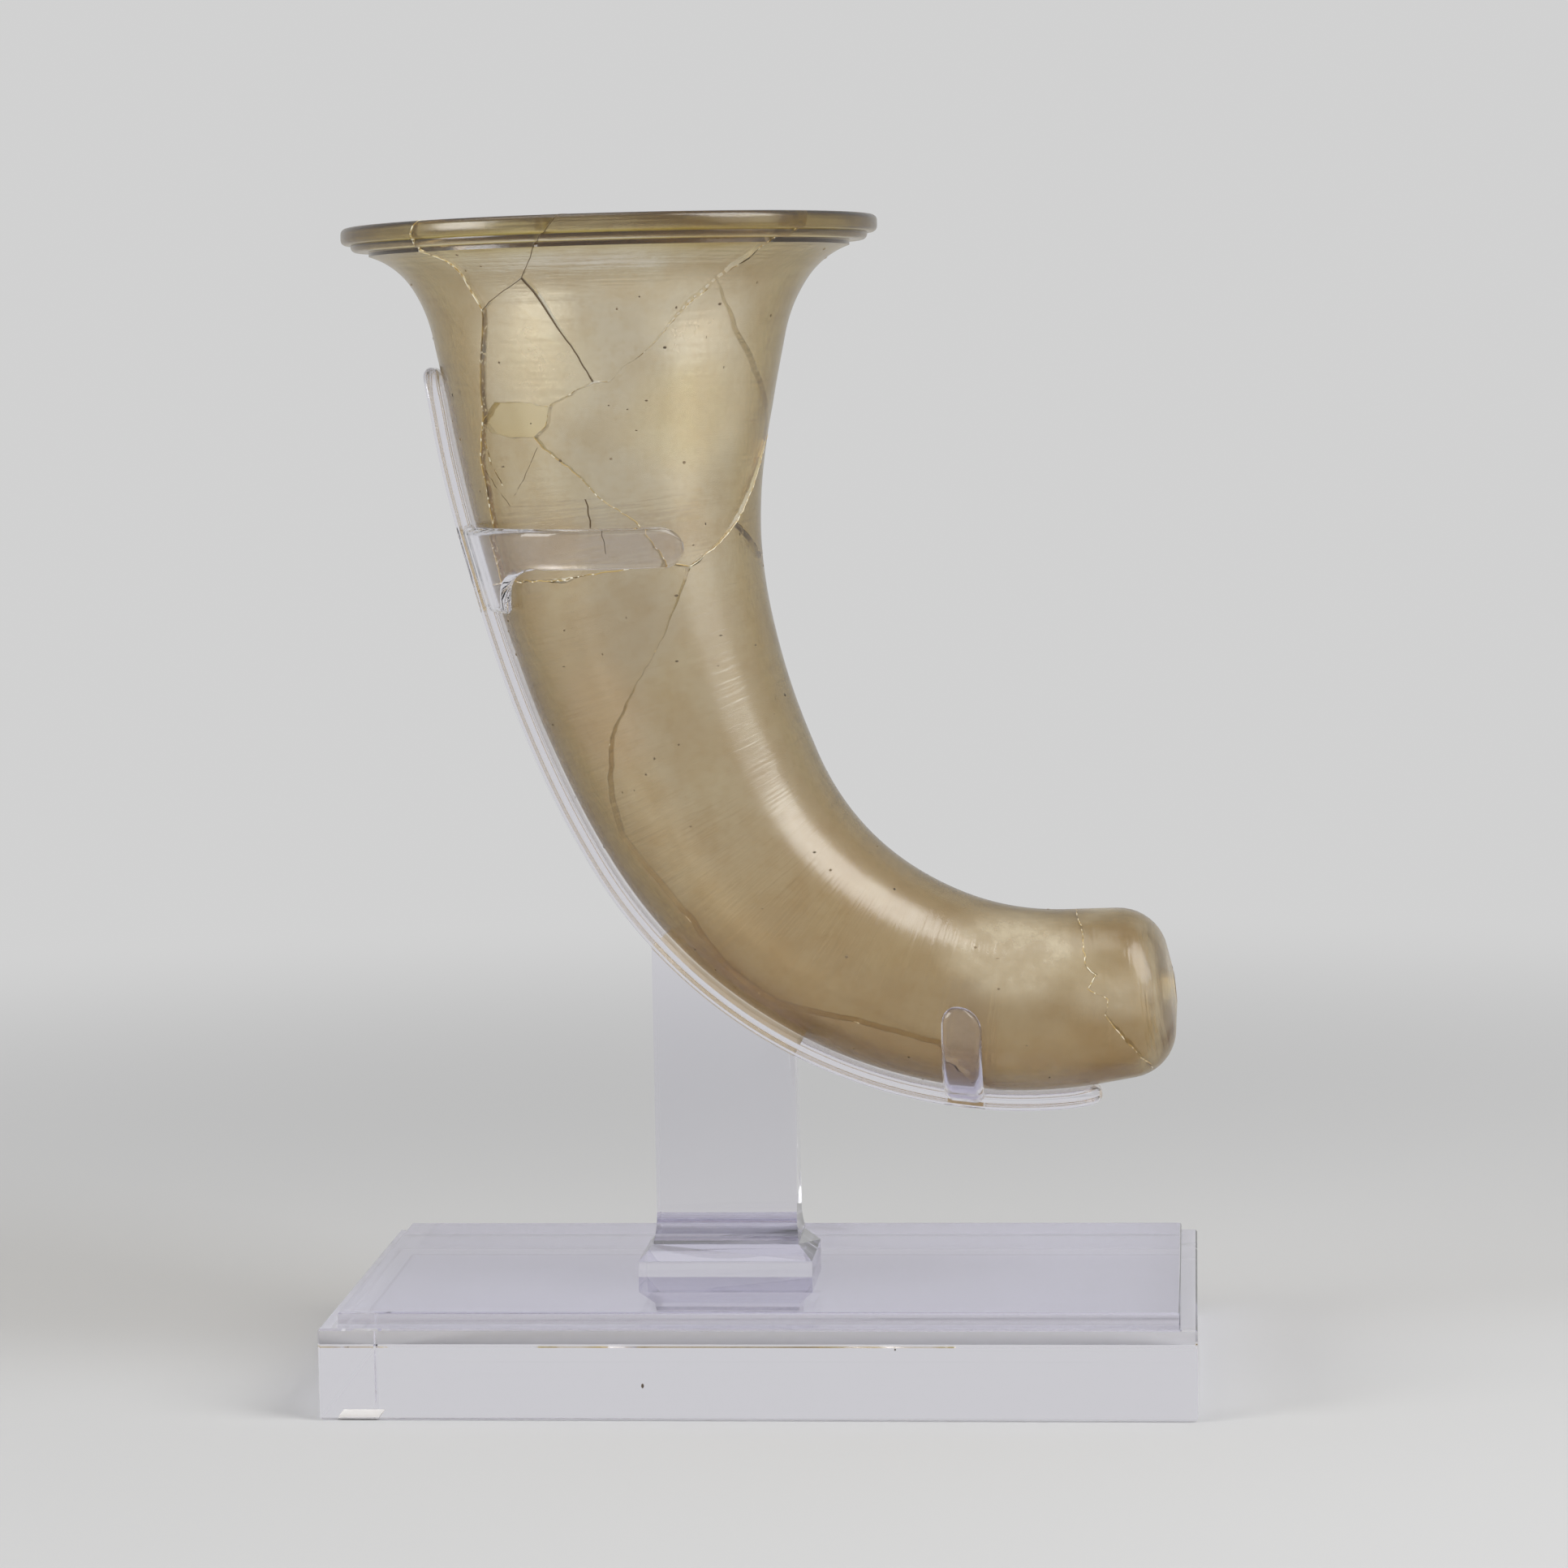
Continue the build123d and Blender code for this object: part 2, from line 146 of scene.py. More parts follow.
def glass_radius(depth):
    """Outer radius of the glass, a smooth curve through the stations of the law."""
    index = 0
    while index < len(radius_law) - 2 and depth > radius_law[index + 1][0]:
        index += 1
    (start, r0), (end, r1) = radius_law[index], radius_law[index + 1]
    span = end - start
    t = min(max((depth - start) / span, 0.0), 1.0)
    eased = r0 + (r1 - r0) * t * t * (3 - 2 * t)
    leaving = law_slope(index) * t * (1 - t) ** 2 * span
    arriving = law_slope(index + 1) * t * t * (t - 1) * span
    return eased + leaving + arriving


def on_horn(depth, turn, radius):
    """Point at a depth, a turn in radians and a radius from the axis."""
    x, z, lean = axis_at(depth)
    side = radius * math.sin(turn)
    return Vector((x + side * math.cos(lean), -radius * math.cos(turn), z + side * math.sin(lean)))


print("length of the horn", round(tip_root + tip_straight, 1), "mm")

# %% [markdown]
# ## Mouth and tip
# The mouth has a thick lip, two fine steps under it and a trumpet flare of two arcs. The tip is a blunt
# turned end with a small pouring hole. Both are half outlines, written from the top down. They are drawn
# with arcs that leave a line without a kink, so a change of one size keeps them smooth.

# %% Arcs, lip and steps
arc_rows = 10
lip_thickness = 3.6
lip_edge = 1.2
lip_top = lip_radius - 2.6
step_radius = 54.7
step_round = 1.2
step_bottom = 5.15
flare_root = Vector((50.9, -6.1))
flare_waist = Vector((41.9, -13.0))
shoulder_depth, shoulder_radius = radius_law[0]
edge_ease = 0.35
step_ease = 0.1
root_ease = 0.2


def rotated(vector, angle):
    """A flat vector turned to the left by an angle."""
    c, s = math.cos(angle), math.sin(angle)
    return Vector((vector.x * c - vector.y * s, vector.x * s + vector.y * c))


def tangent_arc(start, heading, end, count):
    """Points of the arc that leaves start along heading and reaches end, and its heading there."""
    heading = heading.normalized()
    chord = end - start
    left = Vector((-heading.y, heading.x))
    centre = start + left * chord.length_squared / (2 * chord.dot(left))
    sweep = 2 * math.atan2(chord.dot(left), chord.dot(heading))
    points = [centre + rotated(start - centre, sweep * k / count) for k in range(count + 1)]
    return points, rotated(heading, sweep)


def flare(shoulder, waist, root):
    """The flare from its root down to the shoulder."""
    lower, heading = tangent_arc(shoulder, Vector((-law_slope(0), 1)), waist, arc_rows)
    upper, last = tangent_arc(waist, heading, root, arc_rows)
    return (lower + upper[1:])[::-1], heading, last


def quarter_round(middle, size, first):
    """Points of a quarter circle in the half outline, from a first angle on, turning down and inwards."""
    angles = np.radians(first + np.linspace(0, 90, 5))
    return [middle + Vector((size * math.sin(a), size * math.cos(a))) for a in angles]


def lip_outline():
    """Outer outline of the lip and its two steps, from the inner top edge down to the flare."""
    lip_in = lip_radius - lip_edge
    points = [Vector((lip_top, 0))]
    points += quarter_round(Vector((lip_in, -lip_edge)), lip_edge, 0)
    points += quarter_round(Vector((lip_in, lip_edge - lip_thickness)), lip_edge, 90)
    points.append(Vector((step_radius + edge_ease, -lip_thickness)))
    points.append(Vector((step_radius, -lip_thickness - step_ease)))
    points += quarter_round(Vector((step_radius - step_round, step_round - step_bottom)), step_round, 90)
    points.append(Vector((flare_root.x + root_ease, -step_bottom)))
    points.append(Vector((flare_root.x, -step_bottom - root_ease)))
    points.append(Vector((flare_root.x, flare_root.y + root_ease)))
    return points


print("lip of", len(lip_outline()), "points")

# %% [markdown]
# ## Rows from the lip to the hole
# A row is an outer point of the wall, the inner point behind it, and a measure called along, which grows
# from the lip to the pouring hole. One list of rows for the whole vessel lets every later step ask for
# any place by along and turn.

# %% Rows of the vessel
tip_side = 9.6
tip_radius = 18.1
tip_face = 8.8
tip_crown = 0.8
tip_end_wall = 4.2
spout_radius = 3.3
row_step = 1.9


def inward(heading):
    """One wall thickness to the left of a heading."""
    return Vector((-heading.y, heading.x)).normalized() * wall


def horn_rows():
    """Rows of the vessel: along, outer radius and depth, inner radius and depth."""
    shoulder = Vector((shoulder_radius, -shoulder_depth))
    outer_flare, waist_heading, root_heading = flare(shoulder, flare_waist, flare_root)
    inner_waist = flare_waist + inward(waist_heading)
    inner_root = flare_root + inward(root_heading)
    inner_flare = flare(shoulder - Vector((wall, 0)), inner_waist, inner_root)[0]
    lip = lip_outline()
    outer = lip + outer_flare
    lengths = np.cumsum([0] + [(b - a).length for a, b in zip(outer, outer[1:])])
    along = list(lengths * shoulder_depth / lengths[-1])
    reach = along[len(lip)]
    inner = [Vector((lip_top, 0)).lerp(inner_root, a / reach) for a in along[:len(lip)]] + inner_flare
    for depth in np.linspace(shoulder_depth, tip_root, int((tip_root - shoulder_depth) / row_step))[1:]:
        along.append(depth)
        outer.append(Vector((glass_radius(depth), -depth)))
        inner.append(Vector((glass_radius(depth) - wall, -depth)))
    tip_start = Vector((radius_law[-1][1], 0))
    side = [tip_start.lerp(Vector((tip_radius, -tip_side)), t) for t in (0.25, 0.5, 0.75, 1)]
    heading = side[-1] - side[0]
    ends = []
    for thickness, face in ((0, tip_crown), (wall, tip_end_wall)):
        start = side[-1] - Vector((thickness, 0))
        turn = tangent_arc(start, heading, Vector((tip_face, face - tip_straight)), arc_rows)[0]
        hole = Vector((spout_radius, (0 if thickness == 0 else face) - tip_straight))
        end_face = [turn[-1].lerp(hole, t) for t in (0.5, 0.9, 1)]
        ends.append([p - Vector((thickness, 0)) for p in side] + turn[1:] + end_face)
    here = along[-1]
    last = outer[-1]
    for out_point, in_point in zip(*ends):
        out_point, in_point = out_point - Vector((0, tip_root)), in_point - Vector((0, tip_root))
        here += (out_point - last).length
        last = out_point
        along.append(here)
        outer.append(out_point)
        inner.append(in_point)
    return np.array([(a, o.x, -o.y, i.x, -i.y) for a, o, i in zip(along, outer, inner)])


rows = horn_rows()
row_along = rows[:, 0]
lip_zone = np.interp(-flare_root.y, rows[:, 2], row_along)
spout_along = row_along[-1]
print("rows", len(rows), "from the lip to", round(spout_along, 1), "mm along")

# %% [markdown]
# ## Hand work
# Nothing blown and ground by hand is a perfect turning. The rim stands about a degree out of level, up at
# the front and at the right, and the wall swells and thins by a fraction of a millimetre. A slow noise on
# the radius gives that.

# %% The glass surface
rim_tilt = (0.0130, -0.0200)
rim_shift = 0.35
swell = 0.22
swell_size = 0.045


def along_at(depth):
    """The measure along the outline for a depth below the rim."""
    return float(np.interp(depth, rows[:, 2], row_along)) if depth > 0 else 0.0


def glass_point(along, turn, inside):
    """A point of the outer or the inner face of the glass, in metres."""
    radius = np.interp(along, row_along, rows[:, 3 if inside else 1])
    depth = np.interp(along, row_along, rows[:, 4 if inside else 2])
    place = on_horn(depth, turn, radius)
    fade = min(along / lip_zone, (spout_along - along) / tip_side, 1.0)
    radius += swell * noise.noise(place * swell_size) * fade
    place = on_horn(depth, turn, radius)
    level = max(1 - depth / shoulder_depth, 0.0)
    level *= level * (3 - 2 * level)
    place.z += (rim_tilt[0] * (place.x - mouth_x) + rim_tilt[1] * place.y) * level
    place.x += rim_shift * level
    return place * millimetre


rim_heights = [glass_point(0, math.radians(degrees), False).z for degrees in range(-180, 180, 5)]
print("the rim rises", round((max(rim_heights) - min(rim_heights)) / millimetre, 1), "mm across the mouth")

# %% [markdown]
# ## Break lines
# The photograph shows the breaks of the front clearly. Each is a list of corners, a depth below the rim
# and a turn in degrees. Lines that meet share a corner, so together they divide the wall into closed
# sherds. The breaks of the back can't be seen, so they simply carry the front ones round. Between corners
# a break is never straight: it is divided finely and each point is shifted a little by noise.

# %% Break lines
break_lines = {
    "wedge_left": [(0, -36), (6, -43), (9, -38), (14, -37), (18, -35)],
    "wedge_right": [(18, -35), (15, -27), (12, -18), (8, -13), (4, -8), (0, -2)],
    "small_right": [(12, -18), (20, -11), (25.5, -5.5), (33, 1)],
    "front_low": [(38, -15), (36, -9), (33, 1), (33, 6), (27, 18), (20, 28), (13, 39), (9, 46), (6, 47),
                  (3, 52), (0, 53)],
    "left_upper": [(18, -35), (24, -38), (34, -43), (41, -45)],
    "left_lower": [(41, -45), (48, -51), (53, -51), (58, -53), (65, -54), (71, -55)],
    "fill_edge": [(41, -45), (37, -37), (37, -26), (38, -15), (42, -17), (44, -22), (44, -32), (43, -41),
                  (41, -45)],
    "neck_slant": [(44, -22), (48, -15), (52, -7), (57, 0), (63, 13), (73, 23)],
    "right_slant": [(13, 39), (26, 57), (32, 67), (39, 81), (48, 90)],
    "neck_ring": [(69, -180), (71, -150), (72, -138), (72, -90), (71, -55), (72.2, -29), (72.4, -16),
                  (72.6, 0), (72.5, 13), (73, 23), (75, 33), (73, 41), (71, 50), (67, 61), (62, 70),
                  (57, 78), (48, 90), (45, 105), (50, 120), (58, 135), (62, 144), (69, 180)],
    "throat_low": [(67, 61), (77, 86), (73, 115), (58, 135)],
    "left_back": [(0, -132), (30, -126), (55, -136), (72, -138)],
    "back_right": [(0, 150), (25, 156), (50, 142), (62, 144)],
    "long_break": [(75, 33), (78, 30), (88, 16), (92, 8), (99, -9), (105, -24), (116, -40), (124, -47),
                   (133, -42), (143, -41), (154, -50), (164, -49), (171, -39), (178, -31), (186, -28),
                   (194, -28), (203, -56), (207, -90), (200, -122), (180, -138), (150, -130), (120, -145),
                   (90, -136), (72, -138)],
    "tip_ring": [(229, -180), (234, -120), (235.8, -90), (235, -56), (232, -33), (230, -22), (227, -5),
                 (228, 5), (224, 13), (226, 22), (224, 29), (224, 53), (223, 78), (222.5, 100), (224, 130),
                 (229, 180)],
}
sherd_seeds = {
    "rim_wedge": [(5, -25)], "rim_front": [(12, 15)], "neck_small": [(28, -22)],
    "resin_fill": [(40.5, -30)], "neck_lower": [(60, -30)], "neck_front": [(48, 35)], "rim_left": [(30, -80)],
    "rim_back": [(30, -160), (30, 170)], "rim_right": [(25, 110)], "throat": [(62, 100)],
    "underside": [(100, -80)], "horn": [(150, 60), (150, -170)], "tip": [(237, 0)],
}
flat_scale = 30.0
break_step = 1.1
break_sway = 0.55
sway_pitch = 0.45
calm_lines = {"small_right": 0.12, "wedge_right": 0.25}


def flat_point(depth, degrees):
    """A place on the flat pattern of the wall: millimetres along, and round at a mean radius."""
    return Vector((along_at(depth), math.radians(degrees) * flat_scale))


def ragged(corners, sway_size=break_sway):
    """A break line as a fine, uneven line of flat points through its corners."""
    line = []
    flat = [flat_point(*corner) for corner in corners]
    for start, end in zip(flat, flat[1:]):
        pace = end - start
        steps = max(int(pace.length / break_step), 1)
        across = Vector((-pace.y, pace.x)).normalized()
        for k in range(steps):
            t = k / steps
            place = start.lerp(end, t)
            sway = noise.noise((place.x * sway_pitch, place.y * sway_pitch, 3.0))
            sway += 0.5 * noise.noise((place.x, place.y, 8.0))
            line.append(place + across * sway * sway_size * math.sin(math.pi * t))
    return line + [flat[-1]]


ragged_lines = {}
for name, corners in break_lines.items():
    ragged_lines[name] = ragged(corners, calm_lines.get(name, break_sway))
print("break points", sum(len(line) for line in ragged_lines.values()))

# %% [markdown]
# ## Cutting the wall into sherds
# The wall is laid out flat, along by turn, and filled with a grid of points. A constrained Delaunay
# triangulation takes the break lines in as edges. A flood fill that never crosses a break then finds the
# sherds. Doing this on the flat pattern keeps neighbours exactly matched, which cutting solids with each
# other would not.

# %% Flat pattern of the wall
columns = 120
clear_of_break = 0.75
clear_in_lip = 0.2


def flat_pattern():
    """Triangles of the flat wall, with the edges that lie on breaks."""
    places, number, break_edges, row_edges = [], {}, [], []

    def corner(place):
        key = (round(place.x, 4), round(place.y, 4))
        if key not in number:
            number[key] = len(places)
            places.append(Vector(place[:2]))
        return number[key]

    for line in ragged_lines.values():
        path = [corner(place) for place in line]
        break_edges += list(zip(path, path[1:]))
    near = kdtree.KDTree(len(places))
    for index, place in enumerate(places):
        near.insert((place.x, place.y, 0), index)
    near.balance()
    turns = np.linspace(-math.pi, math.pi, columns + 1) * flat_scale
    for along in row_along:
        row = []
        clear = clear_in_lip if along <= lip_zone else clear_of_break
        for column, turn in enumerate(turns):
            on_border = column in (0, columns) or along in (row_along[0], spout_along)
            if on_border or near.find((along, turn, 0))[2] > clear:
                row.append(corner(Vector((along, turn))))
        if along <= lip_zone:
            row_edges += list(zip(row, row[1:]))
    made = delaunay_2d_cdt(places, break_edges + row_edges, [], 0, 1e-5)
    vertices, edges, faces, _, edge_sources, _ = made
    last_break = len(break_edges)
    on_break = [min(source, default=last_break) < last_break for source in edge_sources]
    walls = {tuple(sorted(edge)) for edge, kept in zip(edges, on_break) if kept}
    return [Vector(v) for v in vertices], [tuple(face) for face in faces], walls


def edges_of(face):
    """The three edges of a flat triangle, each with its lower vertex first."""
    return [tuple(sorted((face[k], face[(k + 1) % 3]))) for k in range(3)]


def sherd_faces(places, faces, walls):
    """Faces of each sherd, found by filling outwards from its seeds without crossing a break."""
    beside = {}
    for index, face in enumerate(faces):
        for edge in edges_of(face):
            beside.setdefault(edge, []).append(index)
    centres = np.array([sum((places[v] for v in face), Vector((0, 0))) / 3 for face in faces])
    found = {}
    for name, seeds in sherd_seeds.items():
        members = set()
        for seed in seeds:
            start = int(np.argmin(((centres - np.array(flat_point(*seed))) ** 2).sum(1)))
            queue = [start]
            members.add(start)
            while queue:
                for edge in edges_of(faces[queue.pop()]):
                    if edge in walls:
                        continue
                    for other in beside[edge]:
                        if other not in members:
                            members.add(other)
                            queue.append(other)
        found[name] = sorted(members)
    return found


flat_places, flat_faces, flat_walls = flat_pattern()
sherds = sherd_faces(flat_places, flat_faces, flat_walls)
print("flat faces", len(flat_faces), "in sherds", {name: len(members) for name, members in sherds.items()})

# %% [markdown]
# ## From flat sherds to glass
# Each sherd gets an outer face, an inner face and the broken edge between them. Where glue fills a joint,
# light passes from sherd to sherd, so there the outlines touch and even overlap by a hair. Where a joint
# gapes or an edge has chipped, the outline is drawn in. A tiny shift in or out for each sherd leaves the
# small steps that a finger feels on a mended pot.

# %% Joints and chips
joint_width = -0.03
chips = [
    ((72.3, -23), 1.1, 3.0), ((74, 36), 0.8, 2.2), ((33, 2), 0.5, 1.8), ((23, -8), 0.26, 5.0),
    ((29, -2), 0.24, 4.0), ((9, 46), 0.5, 1.6), ((226, 22), 0.5, 2.0), ((199, -40), 0.5, 2.6),
    ((0, -2), 0.4, 1.2), ((65, 65), 0.3, 6.0), ((57, 78), 0.35, 6.0),
]
hair = 1e-3
sharpest_corner = 0.35


def joint_half(place):
    """Half the width of the joint at a flat place: a touch of overlap, and a gap at chips."""
    width = joint_width
    for centre, extra, reach in chips:
        gap = (place - flat_point(*centre)).length / reach
        width += extra * math.exp(-gap * gap)
    return width / 2


def drawn_in(places, faces, members, walls):
    """New flat places along a sherd's broken outline, which is drawn in, and the edges of that outline."""
    sides = {}
    for index in members:
        face = faces[index]
        for k in range(3):
            a, b = face[k], face[(k + 1) % 3]
            edge = tuple(sorted((a, b)))
            if edge in walls:
                sides.setdefault(edge, []).append((a, b))
    outline = [found[0] for found in sides.values() if len(found) == 1]
    pushes = {}
    for a, b in outline:
        scale = np.interp(places[a].x, row_along, rows[:, 1]) / flat_scale
        pace = Vector((places[b].x - places[a].x, (places[b].y - places[a].y) * scale))
        inwards = Vector((-pace.y, pace.x)).normalized()
        for vertex in (a, b):
            pushes.setdefault(vertex, []).append((inwards, scale))
    moved = {}
    border = math.pi * flat_scale
    for vertex, found in pushes.items():
        middle = sum((push for push, _ in found), Vector((0, 0)))
        if middle.length < hair:
            continue
        middle.normalize()
        spread = max(min(middle.dot(push) for push, _ in found), sharpest_corner)
        step = middle * joint_half(places[vertex]) / spread
        step.y /= found[0][1]
        if abs(abs(places[vertex].y) - border) < hair:
            step = Vector((math.copysign(joint_half(places[vertex]), step.x), 0))
        if places[vertex].x < hair:
            step.x = 0
        moved[vertex] = places[vertex] + step
    return moved, outline


print("joints with", len(chips), "chips")

# %% [markdown]
# ## Closed shells
# The flat sherds can now be bent round the horn, each with its own small shift and its own share of brown
# stain. Every piece ends as a closed shell with smooth faces and only its real edges sharp, because light is
# bent at each face of a clear piece. Numbers that are kept on the points of a mesh reach its finish later.

# %% Sherd meshes
sherd_shift = 0.09
usual_brown = 0.1
sherd_brown = {
    "rim_left": 0.4, "rim_back": 0.2, "rim_right": 0.15, "throat": 0.3, "underside": 0.3, "neck_small": 0.0,
}


def mesh_object(name, vertices, faces):
    """A new object at the origin from points and faces."""
    mesh = bpy.data.meshes.new(name)
    mesh.from_pydata(vertices, [], faces)
    return linked(name, mesh)


def keep(mesh, label, values):
    """Keep a number, or a vector, on every point of a mesh."""
    values = np.array(values, dtype=float)
    many = values.ndim > 1
    kept = mesh.attributes.new(label, "FLOAT_VECTOR" if many else "FLOAT", "POINT")
    kept.data.foreach_set("vector" if many else "value", values.ravel())


def tidy_shell(piece, merge=2e-6, crease=42):
    """Close the seams of a shell, point its faces outwards and keep only real edges sharp."""
    shell = bmesh.new()
    shell.from_mesh(piece.data)
    bmesh.ops.remove_doubles(shell, verts=shell.verts, dist=merge)
    bmesh.ops.dissolve_degenerate(shell, edges=shell.edges, dist=merge)
    bmesh.ops.recalc_face_normals(shell, faces=shell.faces)
    open_edges = sum(1 for edge in shell.edges if len(edge.link_faces) != 2)
    shell.to_mesh(piece.data)
    shell.free()
    piece.data.shade_smooth()
    piece.data.set_sharp_from_angle(angle=math.radians(crease))
    return open_edges


def even_normals(piece):
    """Let large flat faces keep their own normals, so that clear pieces don't bend light like lenses."""
    even = piece.modifiers.new("even normals", "WEIGHTED_NORMAL")
    even.mode = "FACE_AREA"
    even.weight = 100
    even.keep_sharp = True


def make_sherd(name, members, shift):
    """One sherd of glass: outer face, inner face and broken edges."""
    moved, broken = drawn_in(flat_places, flat_faces, members, flat_walls)
    used = sorted({vertex for index in members for vertex in flat_faces[index]})
    slot = {vertex: k for k, vertex in enumerate(used)}
    size = len(used)
    places = [moved.get(vertex, flat_places[vertex]) for vertex in used]
    turns = [p.y / flat_scale for p in places]
    outer = [glass_point(p.x, turn, False) for p, turn in zip(places, turns)]
    inner = [glass_point(p.x, turn, True) for p, turn in zip(places, turns)]
    thick = [o - i for o, i in zip(outer, inner)]
    least = hair * millimetre
    nudge = [t.normalized() * shift * millimetre if t.length > least else Vector() for t in thick]
    outer = [o + n for o, n in zip(outer, nudge)]
    inner = [i + n for i, n in zip(inner, nudge)]
    faces = []
    for index in members:
        a, b, c = (slot[v] for v in flat_faces[index])
        faces += [(a, b, c), (a + size, c + size, b + size)]
    hole = [edge for index in members for edge in edges_of(flat_faces[index])
            if all(abs(flat_places[v].x - spout_along) < hair for v in edge)]
    for a, b in broken + hole:
        a, b = slot[a], slot[b]
        faces.append((a, b, b + size, a + size))
    piece = mesh_object(name + "_glass", outer + inner, faces)
    belt = [(p.x * millimetre, math.sin(turn), math.cos(turn)) for p, turn in zip(places, turns)]
    keep(piece.data, "belt", belt + belt)
    keep(piece.data, "bore", [0.0] * size + [1.0] * size)
    keep(piece.data, "brown", [sherd_brown.get(name, usual_brown)] * (2 * size))
    open_edges = tidy_shell(piece)
    print(piece.name, len(piece.data.polygons), "faces, open edges", open_edges)
    return piece


glass_pieces = {}
for order, (name, members) in enumerate(sherds.items()):
    shift = sherd_shift * noise.noise((order * 1.7, 0.3, 0.9))
    glass_pieces[name] = make_sherd(name, members, shift)

# %% [markdown]
# ## Trees that grow geometry
# Glue follows the breaks, and burial crumbs lie scattered over the skin. What follows a path or repeats
# by chance is best grown by Geometry Nodes: change one input and every strip or crumb follows. A few
# helpers build any tree, end it with real geometry and a finish, and keep its result as a plain mesh.

# %% Node trees and their results
def new_tree(name, inputs):
    """A geometry tree with one mesh in, one mesh out and named inputs."""
    tree = bpy.data.node_groups.new(name, "GeometryNodeTree")
    tree.interface.new_socket("Geometry", in_out="INPUT", socket_type="NodeSocketGeometry")
    for label, kind in inputs:
        tree.interface.new_socket(label, in_out="INPUT", socket_type=kind)
    tree.interface.new_socket("Geometry", in_out="OUTPUT", socket_type="NodeSocketGeometry")
    return tree


def socket_of(sockets, label):
    """A socket by its identifier, its name or its number."""
    return next((socket for socket in sockets if socket.identifier == label), None) or sockets[label]


def place_node(tree, kind, settings=None, inputs=None):
    """Any node of a tree: its settings first, then the values or links of its sockets."""
    node = tree.nodes.new(kind)
    for label, value in (settings or {}).items():
        setattr(node, label, value)
    for label, value in (inputs or {}).items():
        socket = socket_of(node.inputs, label)
        if isinstance(value, bpy.types.NodeSocket):
            tree.links.new(value, socket)
        elif socket.type == "RGBA":
            socket.default_value = (*value, 1.0)
        else:
            socket.default_value = value
    return node


def end_tree(tree, geometry, finish):
    """The end of a tree: instances made real, and a finish on all of it."""
    real = place_node(tree, "GeometryNodeRealizeInstances", None, {"Geometry": geometry})
    dressed = place_node(tree, "GeometryNodeSetMaterial", None,
                         {"Geometry": real.outputs[0], "Material": finish})
    place_node(tree, "NodeGroupOutput", None, {"Geometry": dressed.outputs[0]})
    return tree


def settle(holder):
    """Give an object the mesh that its modifiers make, and take the modifiers off."""
    bpy.context.view_layer.update()
    ready = holder.evaluated_get(bpy.context.evaluated_depsgraph_get())
    mesh = bpy.data.meshes.new_from_object(ready)
    holder.modifiers.clear()
    holder.data = mesh
    mesh.name = holder.name
    return holder


def grown(holder, tree, values):
    """The holder's mesh put through a tree and kept as a plain mesh."""
    step = holder.modifiers.new("grow", "NODES")
    step.node_group = tree
    for item in tree.interface.items_tree:
        if item.in_out == "INPUT" and item.name in values:
            step[item.identifier] = values[item.name]
    return settle(holder)


glue_finish = bpy.data.materials.new("old_glue")
speck_finish = bpy.data.materials.new("burial_crumb")
print("finishes that the trees set:", glue_finish.name, "and", speck_finish.name)

# %% [markdown]
# ## Glue in the joints
# Old glue shows in the breaks as a golden or brown line. Its pale sparkles are painted glints: pale flecks
# in the glue's colour stand in for light caught on the broken faces. The break lines become curves, their
# normals follow the wall, and a thin strip is swept along each one. Where a break is seen deep into the
# wall, a second, deeper sheet lies in it. A few hairline cracks, which end inside a sherd, get a strip
# too. Each line has its own look: how brown it is, how much of it is left, how many pale flecks of
# painted glint it has, and its size.

# %% Looks of the glue
glue_looks = {
    "wedge_left": (0.35, 0.95, 0.8, 0.75), "wedge_right": (1.0, 1.0, -0.5, 0.45),
    "small_right": (1.1, 1.0, -0.5, 0.9), "front_low": (0.35, 0.42, 0.5, 0.4),
    "left_upper": (0.45, 1.0, 0.1, 1.0), "left_lower": (0.45, 1.0, 0.3, 0.9),
    "fill_edge": (0.25, 0.35, 0.2, 0.4), "neck_slant": (0.2, 0.72, 0.2, 0.45),
    "right_slant": (0.5, 0.3, 0.6, 0.5), "neck_ring": (0.4, 0.92, 0.3, 0.7),
    "throat_low": (0.7, 0.5, 0.2, 0.4), "left_back": (0.5, 0.6, 0.2, 0.5),
    "back_right": (0.5, 0.6, 0.2, 0.5), "long_break": (0.45, 0.30, 0.5, 0.30),
    "tip_ring": (0.4, 0.55, 0.5, 0.5), "hairline": (0.9, 0.5, -0.5, 0.17),
    "fleck": (1.2, 0.60, -0.5, 0.75), "nick": (1.0, 0.75, -0.5, 0.45),
    "spur": (0.5, 0.5, 0.3, 0.33),
}
hair_cracks = {
    "hairline": [(46, -21), (52, -29), (57, -39), (53, -45), (50, -49)],
    "fleck": [(57, -5.4), (60, -5.2), (63, -5.3)],
    "nick": [(64.8, -1.1), (68.6, -0.8)],
    "spur": [(44.6, -45.6), (49, -44.5), (53, -40.5)],
}
sheet_looks = {
    "left_upper": (0.5, 0.85, 0.1, 1.0),
    "left_lower": (0.4, 0.85, 0.2, 1.0),
    # The deep sheet on neck_ring is mostly pale flecks, a painted glint on its broken face.
    "neck_ring": (0.0, 0.95, 1.0, 1.0),
}
print("looks of glue for", len(glue_looks), "lines,", len(hair_cracks), "of them cracks")

# %% Glue strips along the breaks
strip_depth = 0.9
strip_width = 0.30
strip_proud = 0.05
sheet_depth = 2.4
sheet_width = 0.12
sheet_turns = (23, 92)
below_lip = 0.5


